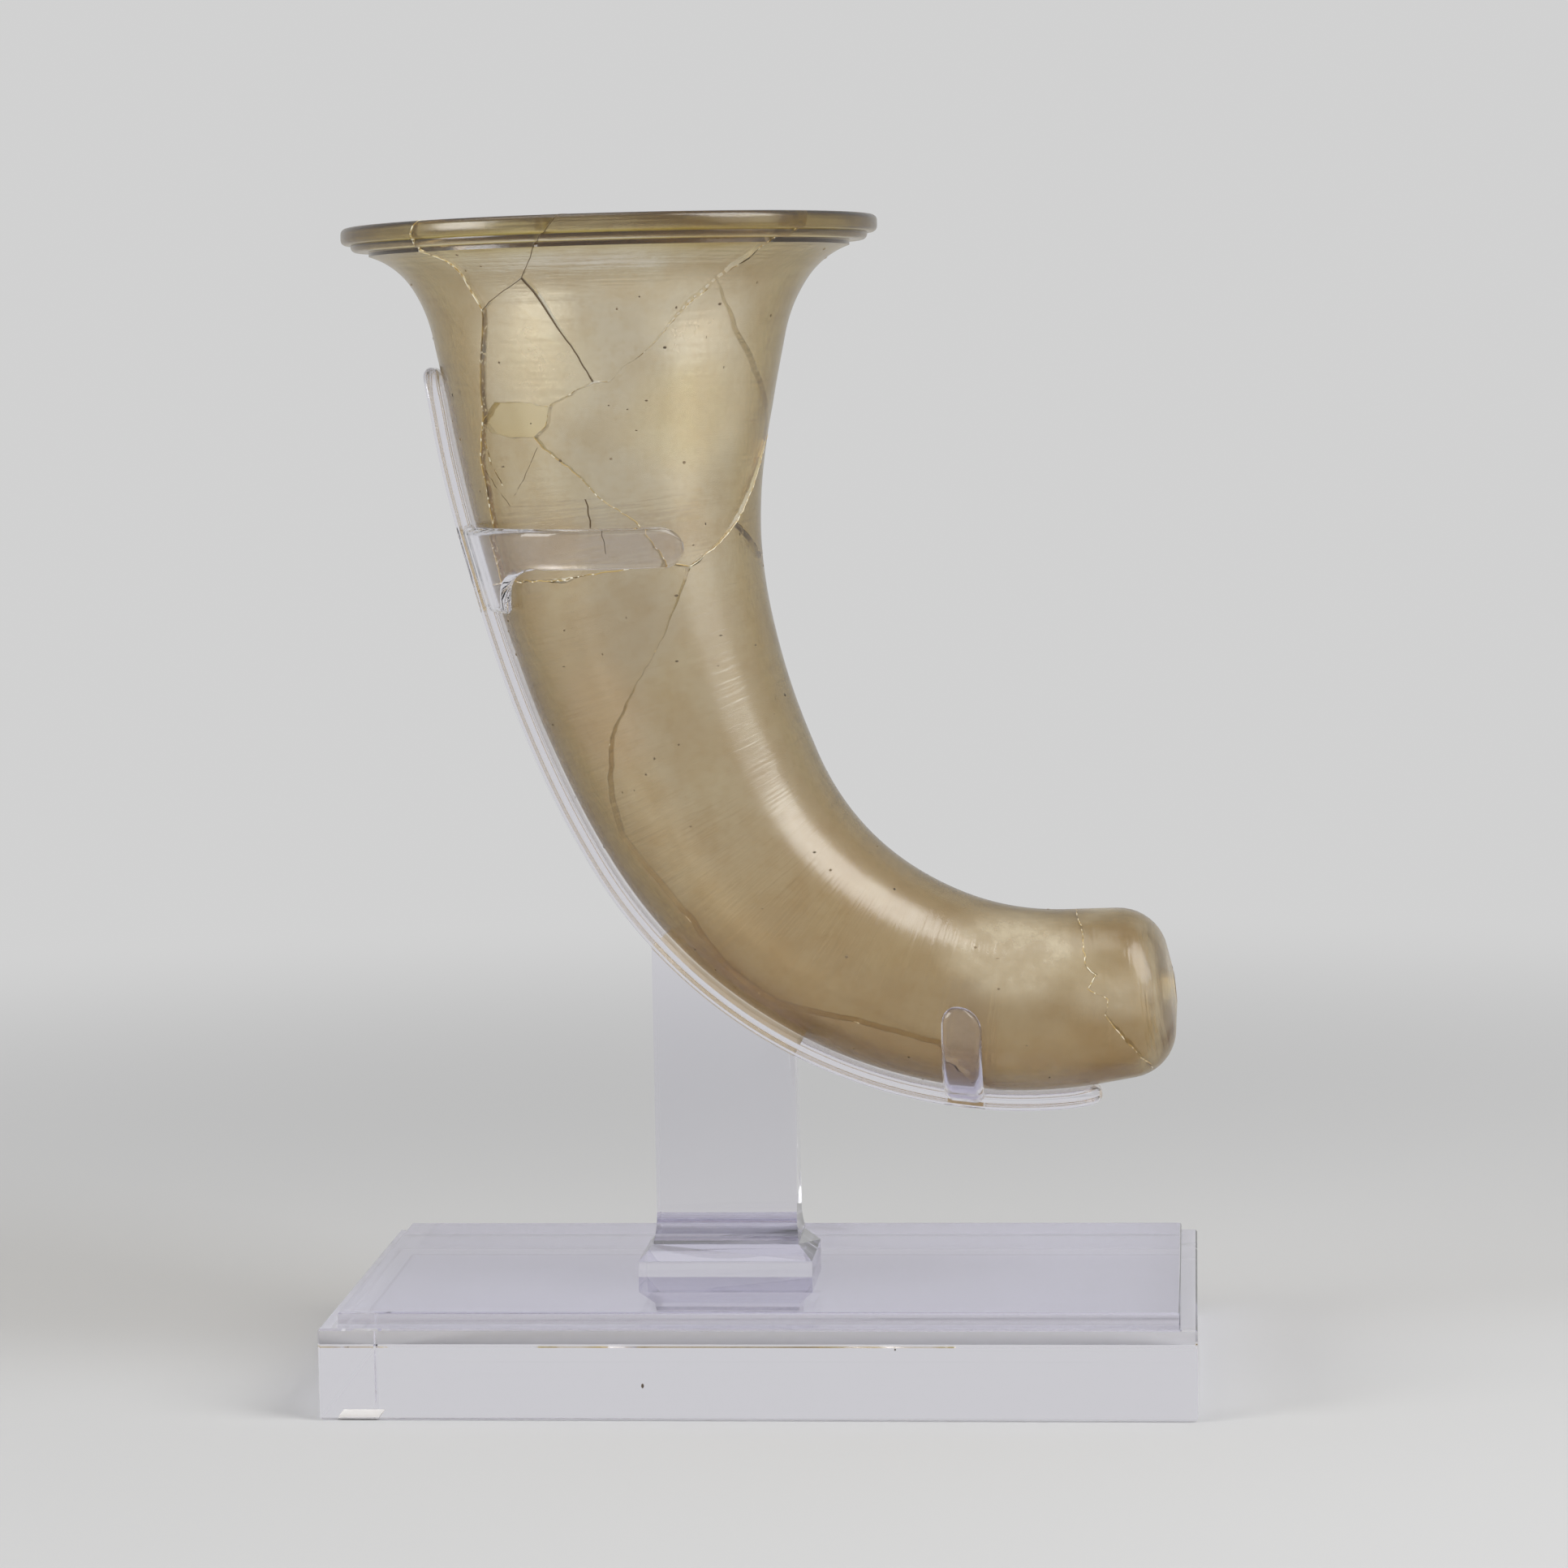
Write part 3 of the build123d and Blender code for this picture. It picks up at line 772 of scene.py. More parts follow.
def strip_tree():
    """Curves from edges, turned to the wall, with a thin strip swept along them."""
    tree = new_tree("glue strips", [("Depth", "NodeSocketFloat"), ("Width", "NodeSocketFloat"),
                                    ("Finish", "NodeSocketMaterial")])
    given = place_node(tree, "NodeGroupInput").outputs
    outward = place_node(tree, "GeometryNodeInputNamedAttribute", {"data_type": "FLOAT_VECTOR"},
                         {"Name": "outward"})
    curve = place_node(tree, "GeometryNodeMeshToCurve", None, {"Mesh": given["Geometry"]})
    facing = place_node(tree, "GeometryNodeSetCurveNormal", {"mode": "FREE"},
                        {"Curve": curve.outputs[0], "Normal": outward.outputs["Attribute"]})
    size = place_node(tree, "GeometryNodeInputNamedAttribute", {"data_type": "FLOAT"}, {"Name": "size"})
    outline = place_node(tree, "GeometryNodeCurvePrimitiveQuadrilateral", None,
                         {"Width": given["Depth"], "Height": given["Width"]})
    swept = place_node(tree, "GeometryNodeCurveToMesh", None,
                       {"Curve": facing.outputs[0], "Profile Curve": outline.outputs[0],
                        "Scale": size.outputs["Attribute"], "Fill Caps": True})
    return end_tree(tree, swept.outputs[0], given["Finish"])


def glue_lines(name, wanted, looks, depth):
    """Lines under the outer face, with the outward direction, the look and the size kept on every point."""
    points, edges, outward, look, size = [], [], [], [], []
    for label, line in wanted.items():
        first = len(points)
        *colour, scale = looks[label]
        for place in line:
            turn = place.y / flat_scale
            outer = glass_point(place.x, turn, False)
            along = max(place.x, below_lip)
            direction = (glass_point(along, turn, False) - glass_point(along, turn, True)).normalized()
            outward.append(direction)
            look.append(colour)
            size.append(scale)
            points.append(outer - direction * (depth * scale / 2 - strip_proud) * millimetre)
        edges += [(k, k + 1) for k in range(first, len(points) - 1)]
    mesh = bpy.data.meshes.new(name)
    mesh.from_pydata(points, edges, [])
    keep(mesh, "outward", outward)
    keep(mesh, "glue", look)
    keep(mesh, "size", size)
    return linked(name, mesh)


def in_sheet(label, place):
    """Whether a point of a line lies on the part of it that has a deep sheet of glue."""
    degrees = math.degrees(place.y / flat_scale)
    return label != "neck_ring" or sheet_turns[0] < degrees < sheet_turns[1]


def swept_glue(name, lines, looks, depth, width):
    """Glue of one depth and width along some lines."""
    return grown(glue_lines(name, lines, looks, depth), grow_strips,
                 {"Depth": depth * millimetre, "Width": width * millimetre, "Finish": glue_finish})


grow_strips = strip_tree()
filled_lines = ragged_lines | {name: ragged(corners) for name, corners in hair_cracks.items()}
deep_lines = {}
for label in sheet_looks:
    deep_lines[label] = [place for place in ragged_lines[label] if in_sheet(label, place)]
glue_strips = swept_glue("glue_strips", filled_lines, glue_looks, strip_depth, strip_width)
glue_sheets = swept_glue("glue_sheets", deep_lines, sheet_looks, sheet_depth, sheet_width)
for made in (glue_strips, glue_sheets):
    print(made.name, len(made.data.polygons), "faces")

# %% [markdown]
# ## Specks in the weathered skin
# Burial leaves small pits and crumbs on old glass. They repeat by chance over a surface, so they are
# scattered by a second tree: points on the outer skin, a small flattened ball on each, and a seed that
# never changes.

# %% Specks
speck_seed = 7
speck_density = 3600.0
speck_radius = 0.26
speck_least = (0.35, 0.35, 0.2)
speck_most = (1.7, 1.5, 0.6)


def speck_tree():
    """Small flattened balls scattered over a skin and turned to lie on it."""
    tree = new_tree("specks", [("Density", "NodeSocketFloat"), ("Radius", "NodeSocketFloat"),
                               ("Seed", "NodeSocketInt"), ("Finish", "NodeSocketMaterial")])
    given = place_node(tree, "NodeGroupInput").outputs
    spots = place_node(tree, "GeometryNodeDistributePointsOnFaces", None,
                       {"Mesh": given["Geometry"], "Density": given["Density"], "Seed": given["Seed"]})
    ball = place_node(tree, "GeometryNodeMeshIcoSphere", None,
                      {"Radius": given["Radius"], "Subdivisions": 2})
    size = place_node(tree, "FunctionNodeRandomValue", {"data_type": "FLOAT_VECTOR"},
                      {0: speck_least, 1: speck_most, "Seed": given["Seed"]})
    set_out = place_node(tree, "GeometryNodeInstanceOnPoints", None,
                         {"Points": spots.outputs["Points"], "Instance": ball.outputs["Mesh"],
                          "Rotation": spots.outputs["Rotation"], "Scale": size.outputs[0]})
    return end_tree(tree, set_out.outputs[0], given["Finish"])


skin_faces = [face for face in flat_faces if min(flat_places[v].x for v in face) > lip_zone]
skin_points = [glass_point(p.x, p.y / flat_scale, False) for p in flat_places]
specks = grown(mesh_object("specks", skin_points, skin_faces), speck_tree(),
               {"Density": speck_density, "Radius": speck_radius * millimetre, "Seed": speck_seed,
                "Finish": speck_finish})
specks.data.shade_smooth()
print("specks", len(specks.data.polygons), "faces")

# %% [markdown]
# ## The clear cradle
# The cradle is acrylic sheet, heated and bent to the horn: a long strap under the outer curve, two arms
# that reach round the throat, and two prongs near the tip. Heat-formed sheet has soft, polished edges,
# and those edges are what makes clear plastic visible at all. Each part is therefore a loft of rounded
# cross-sections that rides on the horn's own rule, a fixed gap outside the glass, and the five lofts are
# joined into one bonded piece.

# %% Lofts on the horn
glass_gap = 0.4
ring_steps = 5
end_rings = 8
loft_crease = 50


def rounded_ring(half_wide, half_thick, corner):
    """Rounded rectangle as pairs of across and outwards, run round once."""
    corner = min(corner, half_wide, half_thick)
    ring = []
    for quarter, (wide, thick) in enumerate(((1, 1), (-1, 1), (-1, -1), (1, -1))):
        for k in range(ring_steps + 1):
            a = (quarter + k / ring_steps) * math.pi / 2
            ring.append((wide * (half_wide - corner) + corner * math.cos(a),
                         thick * (half_thick - corner) + corner * math.sin(a)))
    return ring


def loft(name, rings):
    """A closed skin over rings of points in millimetres."""
    size = len(rings[0])
    vertices = [p * millimetre for ring in rings for p in ring]
    faces = []
    for ring in range(len(rings) - 1):
        for k in range(size):
            a, b = ring * size + k, ring * size + (k + 1) % size
            faces.append((a, b, b + size, a + size))
    for ring, order in ((0, -1), (len(rings) - 1, 1)):
        faces.append(tuple(ring * size + k for k in range(size))[::order])
    piece = mesh_object(name, vertices, faces)
    tidy_shell(piece, crease=loft_crease)
    return piece


def round_off(distance, reach):
    """Share of the full width at a distance from a rounded end."""
    short = max(1 - distance / reach, 0.0)
    return math.sqrt(max(1 - short * short, 1e-4))


def crowded(reach):
    """Distances from a rounded end, small at first, out to its reach."""
    return [reach * (1 - math.cos(math.pi / 2 * k / end_rings)) for k in range(1, end_rings)]


def end_spaced(start, end, count, reach):
    """Stations from start to end that crowd together in the rounded ends."""
    crowd = crowded(reach)
    middle = list(np.linspace(start + reach, end - reach, count))
    return [start + c for c in crowd] + middle + [end - c for c in crowd[::-1]]


print("cross-sections of", len(rounded_ring(1, 1, 1)), "points")

# %% [markdown]
# ## Strap
# The strap is the back of the cradle: a bent strip of one width and thickness with rounded ends. Its
# upper end is the tongue behind the neck. It is a loft along the outer side of the bend.

# %% Strap
strap_thickness = 3.5
strap_width = 12.7
strap_top = 30.0
strap_end = 224.0
strap_corner = 1.0
strap_rings = 110


def strap():
    """The strap under the outer curve of the horn."""
    rings = []
    for depth in end_spaced(strap_top, strap_end, strap_rings, strap_width / 2):
        distance = min(depth - strap_top, strap_end - depth)
        wide = strap_width / 2 * round_off(distance, strap_width / 2)
        thick = strap_thickness / 2 * round_off(distance, strap_thickness / 2)
        middle = glass_radius(depth) + glass_gap + strap_thickness / 2
        ring = []
        for across, outwards in rounded_ring(wide, thick, strap_corner):
            place = on_horn(depth, -math.pi / 2, middle + outwards)
            place.y = across
            ring.append(place)
        rings.append(ring)
    return loft("strap", rings)


strap_loft = strap()
print("strap", len(strap_loft.data.polygons), "faces")

# %% [markdown]
# ## Arms and prongs
# Arms and prongs are fingers: strips that leave the strap, run round the glass and end in a round tip.
# The edges of an arm are level, and a fillet widens its root. The edges of a prong stand upright. Neither
# follows the horn's own depths, so the depth of an edge is searched for at every turn. The outer faces
# are crowned, as heat leaves them.

# %% Arms and prongs
arm_thickness = 3.2
arm_width = 8.6
arm_fillet = 10.0
arm_root = 63.3
arm_root_reach = 5.0
arm_root_turn = -1.42
arm_middle = 66.5
arm_search = (40.0, 110.0)
prong_thickness = 3.2
prong_place = 197.0
prong_width = 8.4
prong_root_turn = -1.32
prong_tip_turn = 0.0
prong_search = (160.0, 221.0)
finger_corner = 1.5
finger_crown = 0.45
finger_rings = 44
finger_end = 0.16
halvings = 40


def strip_inside(depth, turn):
    """A point of the face of a strip that lies next to the glass."""
    return on_horn(depth, turn, glass_radius(depth) + glass_gap)


def depth_where(wanted, coordinate, turn, low, high):
    """Depth at which the inner face of a strip reaches a height or a place across."""
    for _ in range(halvings):
        middle = (low + high) / 2
        here = strip_inside(middle, turn)[coordinate]
        if (here < wanted) == (coordinate == 0):
            low = middle
        else:
            high = middle
    return (low + high) / 2


def arm_edges(turn):
    """Depths of an arm's upper and lower edge at a turn, with the fillet into the strap."""
    top_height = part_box("front_arm")[1].z / millimetre
    upper = depth_where(top_height, 2, turn, *arm_search)
    root_x = strip_inside(arm_root, -math.pi / 2).x + arm_root_reach
    short = min(max(root_x + arm_fillet - strip_inside(upper, turn).x, 0.0), arm_fillet * 0.999)
    drop = arm_fillet - math.sqrt(arm_fillet ** 2 - short ** 2)
    return upper, depth_where(top_height - arm_width - drop, 2, turn, *arm_search)


def prong_edges(turn):
    """Depths of a prong's two edges at a turn."""
    middle = axis_at(prong_place)[0]
    return tuple(depth_where(middle + side * prong_width / 2, 0, turn, *prong_search) for side in (-1, 1))


def finger(name, edges, root_turn, tip_turn, thickness, side):
    """A strip that leaves the strap and runs round the horn to a rounded tip."""
    rings = []
    turns = list(np.linspace(root_turn, tip_turn - finger_end, finger_rings))
    for turn in turns + [tip_turn - f for f in crowded(finger_end)[::-1]]:
        first, last = edges(turn)
        middle, half = (first + last) / 2, (last - first) / 2
        distance = (tip_turn - turn) * glass_radius(middle)
        wide = half * round_off(distance, half)
        thick = thickness / 2 * round_off(distance, thickness / 2)
        ring = []
        for across, outwards in rounded_ring(wide, thick, finger_corner):
            if outwards > 0:
                outwards *= 1 - finger_crown * (across / wide) ** 2
            depth = middle + across
            place = on_horn(depth, turn, glass_radius(depth) + glass_gap + thickness / 2 + outwards)
            place.y *= side
            ring.append(place)
        rings.append(ring)
    return loft(name, rings)


arm_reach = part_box("front_arm")[1].x / millimetre - axis_at(arm_middle)[0]
arm_tip_turn = math.asin(arm_reach / (glass_radius(arm_middle) + glass_gap))
finger_shapes = {
    "arm": (arm_edges, arm_root_turn, arm_tip_turn, arm_thickness),
    "prong": (prong_edges, prong_root_turn, prong_tip_turn, prong_thickness),
}
fingers = []
for side, label in ((1, "front"), (-1, "rear")):
    for kind, shape in finger_shapes.items():
        fingers.append(finger(f"{label}_{kind}_loft", *shape, side))
print("fingers", [made.name for made in fingers])

# %% [markdown]
# ## One bonded piece
# Strap and fingers are one clear piece to the eye: no face shows where one enters the other. A union of
# the five lofts takes those inner faces away, which would bend the light.

# %% Cradle
def joined(name, parts):
    """The union of several closed skins, kept as a plain mesh."""
    whole = parts[0]
    whole.name = name
    for part in parts[1:]:
        step = whole.modifiers.new("join", "BOOLEAN")
        step.operation = "UNION"
        step.solver = "EXACT"
        step.object = part
    settle(whole)
    for part in parts[1:]:
        bpy.data.objects.remove(part)
    open_edges = tidy_shell(whole, crease=loft_crease)
    print(name, len(whole.data.polygons), "faces, open edges", open_edges)
    return whole


cradle = joined("clear_cradle", [strap_loft] + fingers)
even_normals(cradle)

# %% [markdown]
# ## Post, foot, plate and block
# The rest of the stand is cut and cemented acrylic with polished faces, so the CAD shapes can be used as
# they are. Each piece is let into the one below by a hair, because two clear faces in exactly the same
# plane can't both be traced, and cement does just this: it lets light pass from piece to piece.

# %% Base pieces
cement = 0.03
saddle_cement = 0.12
saddle_height = 60.0
cut_crease = 25


def cut_piece(node, name, sink=cement, saddle=None):
    """A copy of a CAD piece, with its lowest face and its saddle let into its neighbours."""
    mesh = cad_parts[node].data.copy()
    mesh.name = name
    mesh.materials.clear()
    low = min(v.co.z for v in mesh.vertices)
    for vertex in mesh.vertices:
        if vertex.co.z < low + hair * millimetre:
            vertex.co.z -= sink * millimetre
        elif saddle is not None and vertex.co.z > saddle * millimetre:
            vertex.co.z += saddle_cement * millimetre
    piece = linked(name, mesh)
    open_edges = tidy_shell(piece, crease=cut_crease)
    even_normals(piece)
    print(name, len(mesh.polygons), "faces, open edges", open_edges)
    return piece


clear_pieces = {
    "post": cut_piece("post", "clear_post", saddle=saddle_height),
    "post_foot": cut_piece("post_foot", "clear_foot"),
    "base_plate": cut_piece("base_plate", "clear_plate"),
    "base_block": cut_piece("base_block", "clear_block", sink=0.0),
}

# %% [markdown]
# ## Sticker and flaws of the block
# Under the front left corner of the block sits a small blank paper sticker, and two dark flaws hang just
# behind its front face. All are seen only through the plastic, so they lie a hair inside it.

# %% Sticker and flaws
sticker_place = (-87.2, -51.8, 0.06)
sticker_size = (8.6, 12.0, 0.10)
flaws = [((-23.3, -51.8, 7.1), (0.30, 0.2, 0.50)), ((29.0, -51.8, 14.8), (0.20, 0.15, 0.22))]


def sticker_sheet():
    """A thin sheet of paper just inside the underside of the block."""
    wide, deep, high = sticker_size
    corners = [Vector((x, y, z)) for z in (0, high) for y in (0, deep) for x in (0, wide)]
    points = [(Vector(sticker_place) + corner) * millimetre for corner in corners]
    faces = [(0, 2, 3, 1), (4, 5, 7, 6), (0, 1, 5, 4), (2, 6, 7, 3), (0, 4, 6, 2), (1, 3, 7, 5)]
    return mesh_object("block_sticker", points, faces)


def flaw_grains():
    """Small dark grains in the block."""
    shell = bmesh.new()
    for place, size in flaws:
        stretch = Matrix.Diagonal((Vector(size) * millimetre).to_4d())
        matrix = Matrix.Translation(Vector(place) * millimetre) @ stretch
        bmesh.ops.create_icosphere(shell, subdivisions=2, radius=1.0, matrix=matrix)
    mesh = bpy.data.meshes.new("block_flaws")
    shell.to_mesh(mesh)
    shell.free()
    return linked("block_flaws", mesh)


sticker = sticker_sheet()
block_flaws = flaw_grains()
print("sticker and", len(flaws), "flaws")

# %% [markdown]
# ## Finishes
# Every finish is a small graph of noise, masks and mixes. Written out node by node such a graph is
# unreadable, so a socket is wrapped in a class that understands plus, minus and times. A second class
# makes the nodes that every finish needs, and its last step is always the surface.

# %% Writing shaders as sums
class Wire:
    """An output socket that can be used in sums."""

    def __init__(self, finish, socket):
        self.finish = finish
        self.socket = socket

    def maths(self, operation, first, second):
        """A sum, a difference or a product."""
        return self.finish.node("ShaderNodeMath", {"operation": operation}, {0: first, 1: second})

    def __add__(self, other):
        return self.maths("ADD", self, other)

    def __sub__(self, other):
        return self.maths("SUBTRACT", self, other)

    def __rsub__(self, other):
        return self.maths("SUBTRACT", other, self)

    def __mul__(self, other):
        return self.maths("MULTIPLY", self, other)

    __radd__ = __add__
    __rmul__ = __mul__

    def between(self, low, high):
        """0 below low, 1 above high, eased in between."""
        return self.finish.node("ShaderNodeMapRange", {"interpolation_type": "SMOOTHSTEP"},
                                {"Value": self, "From Min": low, "From Max": high})


class Finish:
    """A material, or a world, that is being wired."""

    def __init__(self, owner):
        self.owner = owner
        owner.use_nodes = True
        self.tree = owner.node_tree
        self.tree.nodes.clear()

    def node(self, kind, settings=None, inputs=None, out=0):
        """Any node, with wires or values on its sockets, and one of its outputs as a wire."""
        given = {}
        for label, value in (inputs or {}).items():
            given[label] = value.socket if isinstance(value, Wire) else value
        made = place_node(self.tree, kind, settings, given)
        return Wire(self, socket_of(made.outputs, out))

    def blend(self, factor, first, second, way="MIX"):
        """Two colours mixed, or multiplied."""
        return self.node("ShaderNodeMix", {"data_type": "RGBA", "blend_type": way},
                         {"Factor_Float": factor, "A_Color": first, "B_Color": second}, "Result_Color")

    def grain(self, place, scale, detail=3.0, roughness=0.55):
        """Noise between about 0 and 1."""
        return self.node("ShaderNodeTexNoise", None,
                         {"Vector": place, "Scale": scale, "Detail": detail, "Roughness": roughness}, "Fac")

    def place(self):
        """The piece's own coordinates, in metres."""
        return self.node("ShaderNodeTexCoord", None, None, "Object")

    def attribute(self, label, out="Fac"):
        """What was kept on the points of a mesh."""
        return self.node("ShaderNodeAttribute", {"attribute_name": label}, None, out)

    def axis(self, vector, label):
        """One coordinate of a vector."""
        return self.node("ShaderNodeSeparateXYZ", None, {"Vector": vector}, label)

    def vectors(self, operation, *given, out=0):
        """A step of reckoning with vectors."""
        return self.node("ShaderNodeVectorMath", {"operation": operation}, dict(enumerate(given)), out)

    def relief(self, height, strength, distance):
        """A bump for the Normal socket."""
        return self.node("ShaderNodeBump", None,
                         {"Strength": strength, "Distance": distance, "Height": height})

    def principled(self, colour, roughness, others=None):
        """The common shader, with further sockets as needed."""
        return self.node("ShaderNodeBsdfPrincipled", None,
                         {"Base Color": colour, "Roughness": roughness} | (others or {}))

    def mixed(self, factor, first, second):
        """Two shaders mixed."""
        return self.node("ShaderNodeMixShader", None, {0: factor, 1: first, 2: second})

    def depth_tint(self, colour, density):
        """A body that colours light the more, the further it passes through."""
        return self.node("ShaderNodeVolumeAbsorption", None, {"Color": colour, "Density": density})

    def lets_lamps_through(self, shader, tint):
        """A clear piece casts a pale shadow: shadow rays meet a tinted, transparent surface."""
        shadow = self.node("ShaderNodeLightPath", None, None, "Is Shadow Ray")
        return self.mixed(shadow, shader, self.node("ShaderNodeBsdfTransparent", None, {"Color": tint}))

    def surface(self, shader, volume=None):
        """The end of the graph, and what it belongs to."""
        of_world = isinstance(self.owner, bpy.types.World)
        kind = "ShaderNodeOutputWorld" if of_world else "ShaderNodeOutputMaterial"
        ends = {"Surface": shader.socket}
        if volume is not None:
            ends["Volume"] = volume.socket
        place_node(self.tree, kind, None, ends)
        return self.owner


print("tools of a finish:", [name for name in vars(Finish) if not name.startswith("_")])

# %% [markdown]
# ## Weathered glass
# The glass is honey-coloured: olive and pale at the neck, browner down the horn. Light takes up colour as
# it passes through, so the sides, where the wall is seen edge on, are darker than the middle. Part of
# that darkening is painted shade: a darker honey mixed into the colour by the viewing angle, on top of
# the real tint of the depth. Weathering has dulled the skin, which blurs what is seen through it. It has
# also left fine turned lines round the neck, brown stains and pits, and turned the skin white in places by
# the tip. A pale film on a few spots of the neck and the tip is painted highlight. What polish is left
# gives the soft highlights, but not at the edges.

# %% Colours of the glass
neck_honey = (0.998, 0.995, 0.995)
horn_honey = (0.90, 0.86, 0.79)
deep_honey = (0.88, 0.80, 0.665)
rim_olive = (0.77, 0.70, 0.34)
straw_patch = (0.985, 0.94, 0.78)
rose_patch = (0.915, 0.845, 0.79)
# Painted shade: a darker honey that the colour takes at the grazing sides, by viewing angle, for light lost
# on its longer path through the wall.
edge_on_painted_shade = (0.75, 0.62, 0.17)
brown_stain = (0.92, 0.87, 0.78)
sherd_stain = (0.86, 0.79, 0.62)
pit_stain = (0.86, 0.80, 0.68)
# Pale film: the colour of the white weathered skin by the tip, and also of the painted highlights on a few
# spots of the neck and the tip.
pale_film_and_highlight = (0.77, 0.70, 0.53)
depth_honey = (0.72, 0.62, 0.37)
depth_density = 190.0
glass_shadow = (0.82, 0.81, 0.79)
mean_radius = flat_scale * millimetre
edge_on = (0.3, 0.8)
lip_end = (0.0042, 0.0050)
neck_to_horn = (0.052, 0.110)
horn_to_deep = (0.12, 0.165)
near_tip = (0.195, 0.225)
polish_end = (0.212, 0.228)
skin_polish = 0.35
turned_lines = (900.0, 1.4, 1.4)
bump_strength = 0.5
bump_height = 0.0004
tip_whitening = 0.22
spot_core = 0.35
spot_waver = 0.012
spots = [
    (29, -17, 0.013, (0.99, 0.95, 0.80), 0.7), (41, 36, 0.016, (0.975, 0.93, 0.74), 0.85),
    (84, -2, 0.019, (0.85, 0.83, 0.83), 0.75), (54, -6, 0.016, (0.94, 0.945, 0.96), 0.7),
    (101, -24, 0.016, (0.89, 0.80, 0.72), 0.7), (150, -8, 0.018, (0.85, 0.76, 0.62), 0.6),
    (17, 18, 0.012, (1.0, 1.0, 1.0), 0.7), (2, 42, 0.018, (0.72, 0.64, 0.42), 0.8),
    (206, -62, 0.016, (0.99, 0.92, 0.68), 0.8), (228, 30, 0.014, (0.97, 0.90, 0.74), 0.7),
]
# Painted highlights: spots of pale film where highlights show on the neck and the tip, each a depth, a turn,
# a reach and a strength.
painted_highlight_spots = [
    (29, -17, 0.016, 0.25), (20, 33, 0.011, 0.25), (41, 36, 0.019, 0.20), (207, 40, 0.022, 0.30),
    (230, 8, 0.012, 0.16),
]
print("colours of the glass,", len(spots), "coloured spots,", len(painted_highlight_spots), "pale ones")

# %% Weathered glass
def spot(finish, belt, cloud, depth, degrees, reach):
    """A soft spot on the wall at a depth and a turn, with an uneven outline."""
    turn = math.radians(degrees)
    centre = (along_at(depth) * millimetre, math.sin(turn), math.cos(turn))
    gap = finish.vectors("SUBTRACT", belt, centre)
    level = finish.vectors("MULTIPLY", gap, (1.0, mean_radius, mean_radius))
    away = finish.vectors("LENGTH", level, out="Value")
    return 1.0 - (away + spot_waver * (cloud - 0.5)).between(spot_core * reach, reach)


def glass_finish():
    """Dull, honey-coloured, translucent old glass."""
    finish = Finish(bpy.data.materials.new("weathered_glass"))
    place = finish.place()
    belt = finish.attribute("belt", "Vector")
    along = finish.axis(belt, "X")
    outside = 1.0 - finish.attribute("bore")
    cloud = finish.grain(place, 34.0, 4.0)
    patch = finish.grain(place, 21.0)
    mottle = finish.grain(place, 150.0, 5.0, 0.62)
    smoke = finish.grain(place, 75.0, 6.0, 0.68)
    grit = finish.grain(place, 1500.0, 3.0, 0.6)
    pits = finish.grain(place, 640.0, 4.0, 0.7)
    turned = finish.node("ShaderNodeMapping", None, {"Vector": belt, "Scale": turned_lines})
    lines = finish.grain(turned, 1.0, 2.0)
    facing = finish.node("ShaderNodeLayerWeight", None, {"Blend": 0.5}, "Facing")
    edge = facing.between(*edge_on)
    honey = finish.blend(along.between(*neck_to_horn), neck_honey, horn_honey)
    honey = finish.blend(along.between(*horn_to_deep), honey, deep_honey)
    honey = finish.blend(cloud.between(0.52, 0.72) * 0.4, honey, straw_patch)
    honey = finish.blend(patch.between(0.55, 0.75) * 0.5, honey, rose_patch)
    for *centre, reach, colour, strength in spots:
        honey = finish.blend(spot(finish, belt, cloud, *centre, reach) * strength, honey, colour)
    stains = [
        ((smoke + 0.25 * (mottle - 0.5)).between(0.42, 0.66) * 0.9, brown_stain),
        (pits.between(0.50, 0.66) * outside * 0.55, pit_stain),
        (finish.attribute("brown"), sherd_stain),
        (1.0 - along.between(*lip_end), rim_olive),
        # painted shade: darker honey at the grazing sides, by viewing angle
        (edge, edge_on_painted_shade),
    ]
    for mask, stain in stains:
        honey = finish.blend(mask, honey, stain, "MULTIPLY")
    polish = skin_polish * (1.0 - edge) * (1.0 - along.between(*polish_end))
    dull = (0.18 + 0.08 * mottle) * (0.55 + 0.45 * outside)
    bump = finish.relief(0.12 * grit + 0.55 * lines + 0.33 * mottle, bump_strength, bump_height)
    glass = finish.principled(honey, dull, {"IOR": 1.52, "Transmission Weight": 1.0, "Coat Weight": polish,
                                            "Coat Roughness": 0.2, "Normal": bump})
    film = finish.principled(pale_film_and_highlight, 0.7, {"Normal": bump})
    whitening_and_highlights = along.between(*near_tip) * cloud.between(0.40, 0.62) * tip_whitening
    # The pale film near the tip is weathering; the spots added here are painted highlights.
    for *centre, reach, strength in painted_highlight_spots:
        whitening_and_highlights = whitening_and_highlights + spot(finish, belt, cloud, *centre, reach) * strength
    film_and_highlight_cover = whitening_and_highlights * (0.7 + 0.6 * mottle.between(0.35, 0.65)) * outside
    skin = finish.lets_lamps_through(finish.mixed(film_and_highlight_cover, glass, film), glass_shadow)
    return finish.surface(skin, finish.depth_tint(depth_honey, depth_density))


weathered_glass = glass_finish()
print(weathered_glass.name, len(weathered_glass.node_tree.nodes), "nodes")

# %% [markdown]
# ## Fill, glue and dull finishes
# A small gap was filled with clear resin, which is yellower and smoother than the glass. The glue runs
# from gold to brown with pale flecks, which are painted glints, and is missing in places. Crumbs of earth,
# paper and cloudy cement are dull: two colours mixed by noise are enough for each.

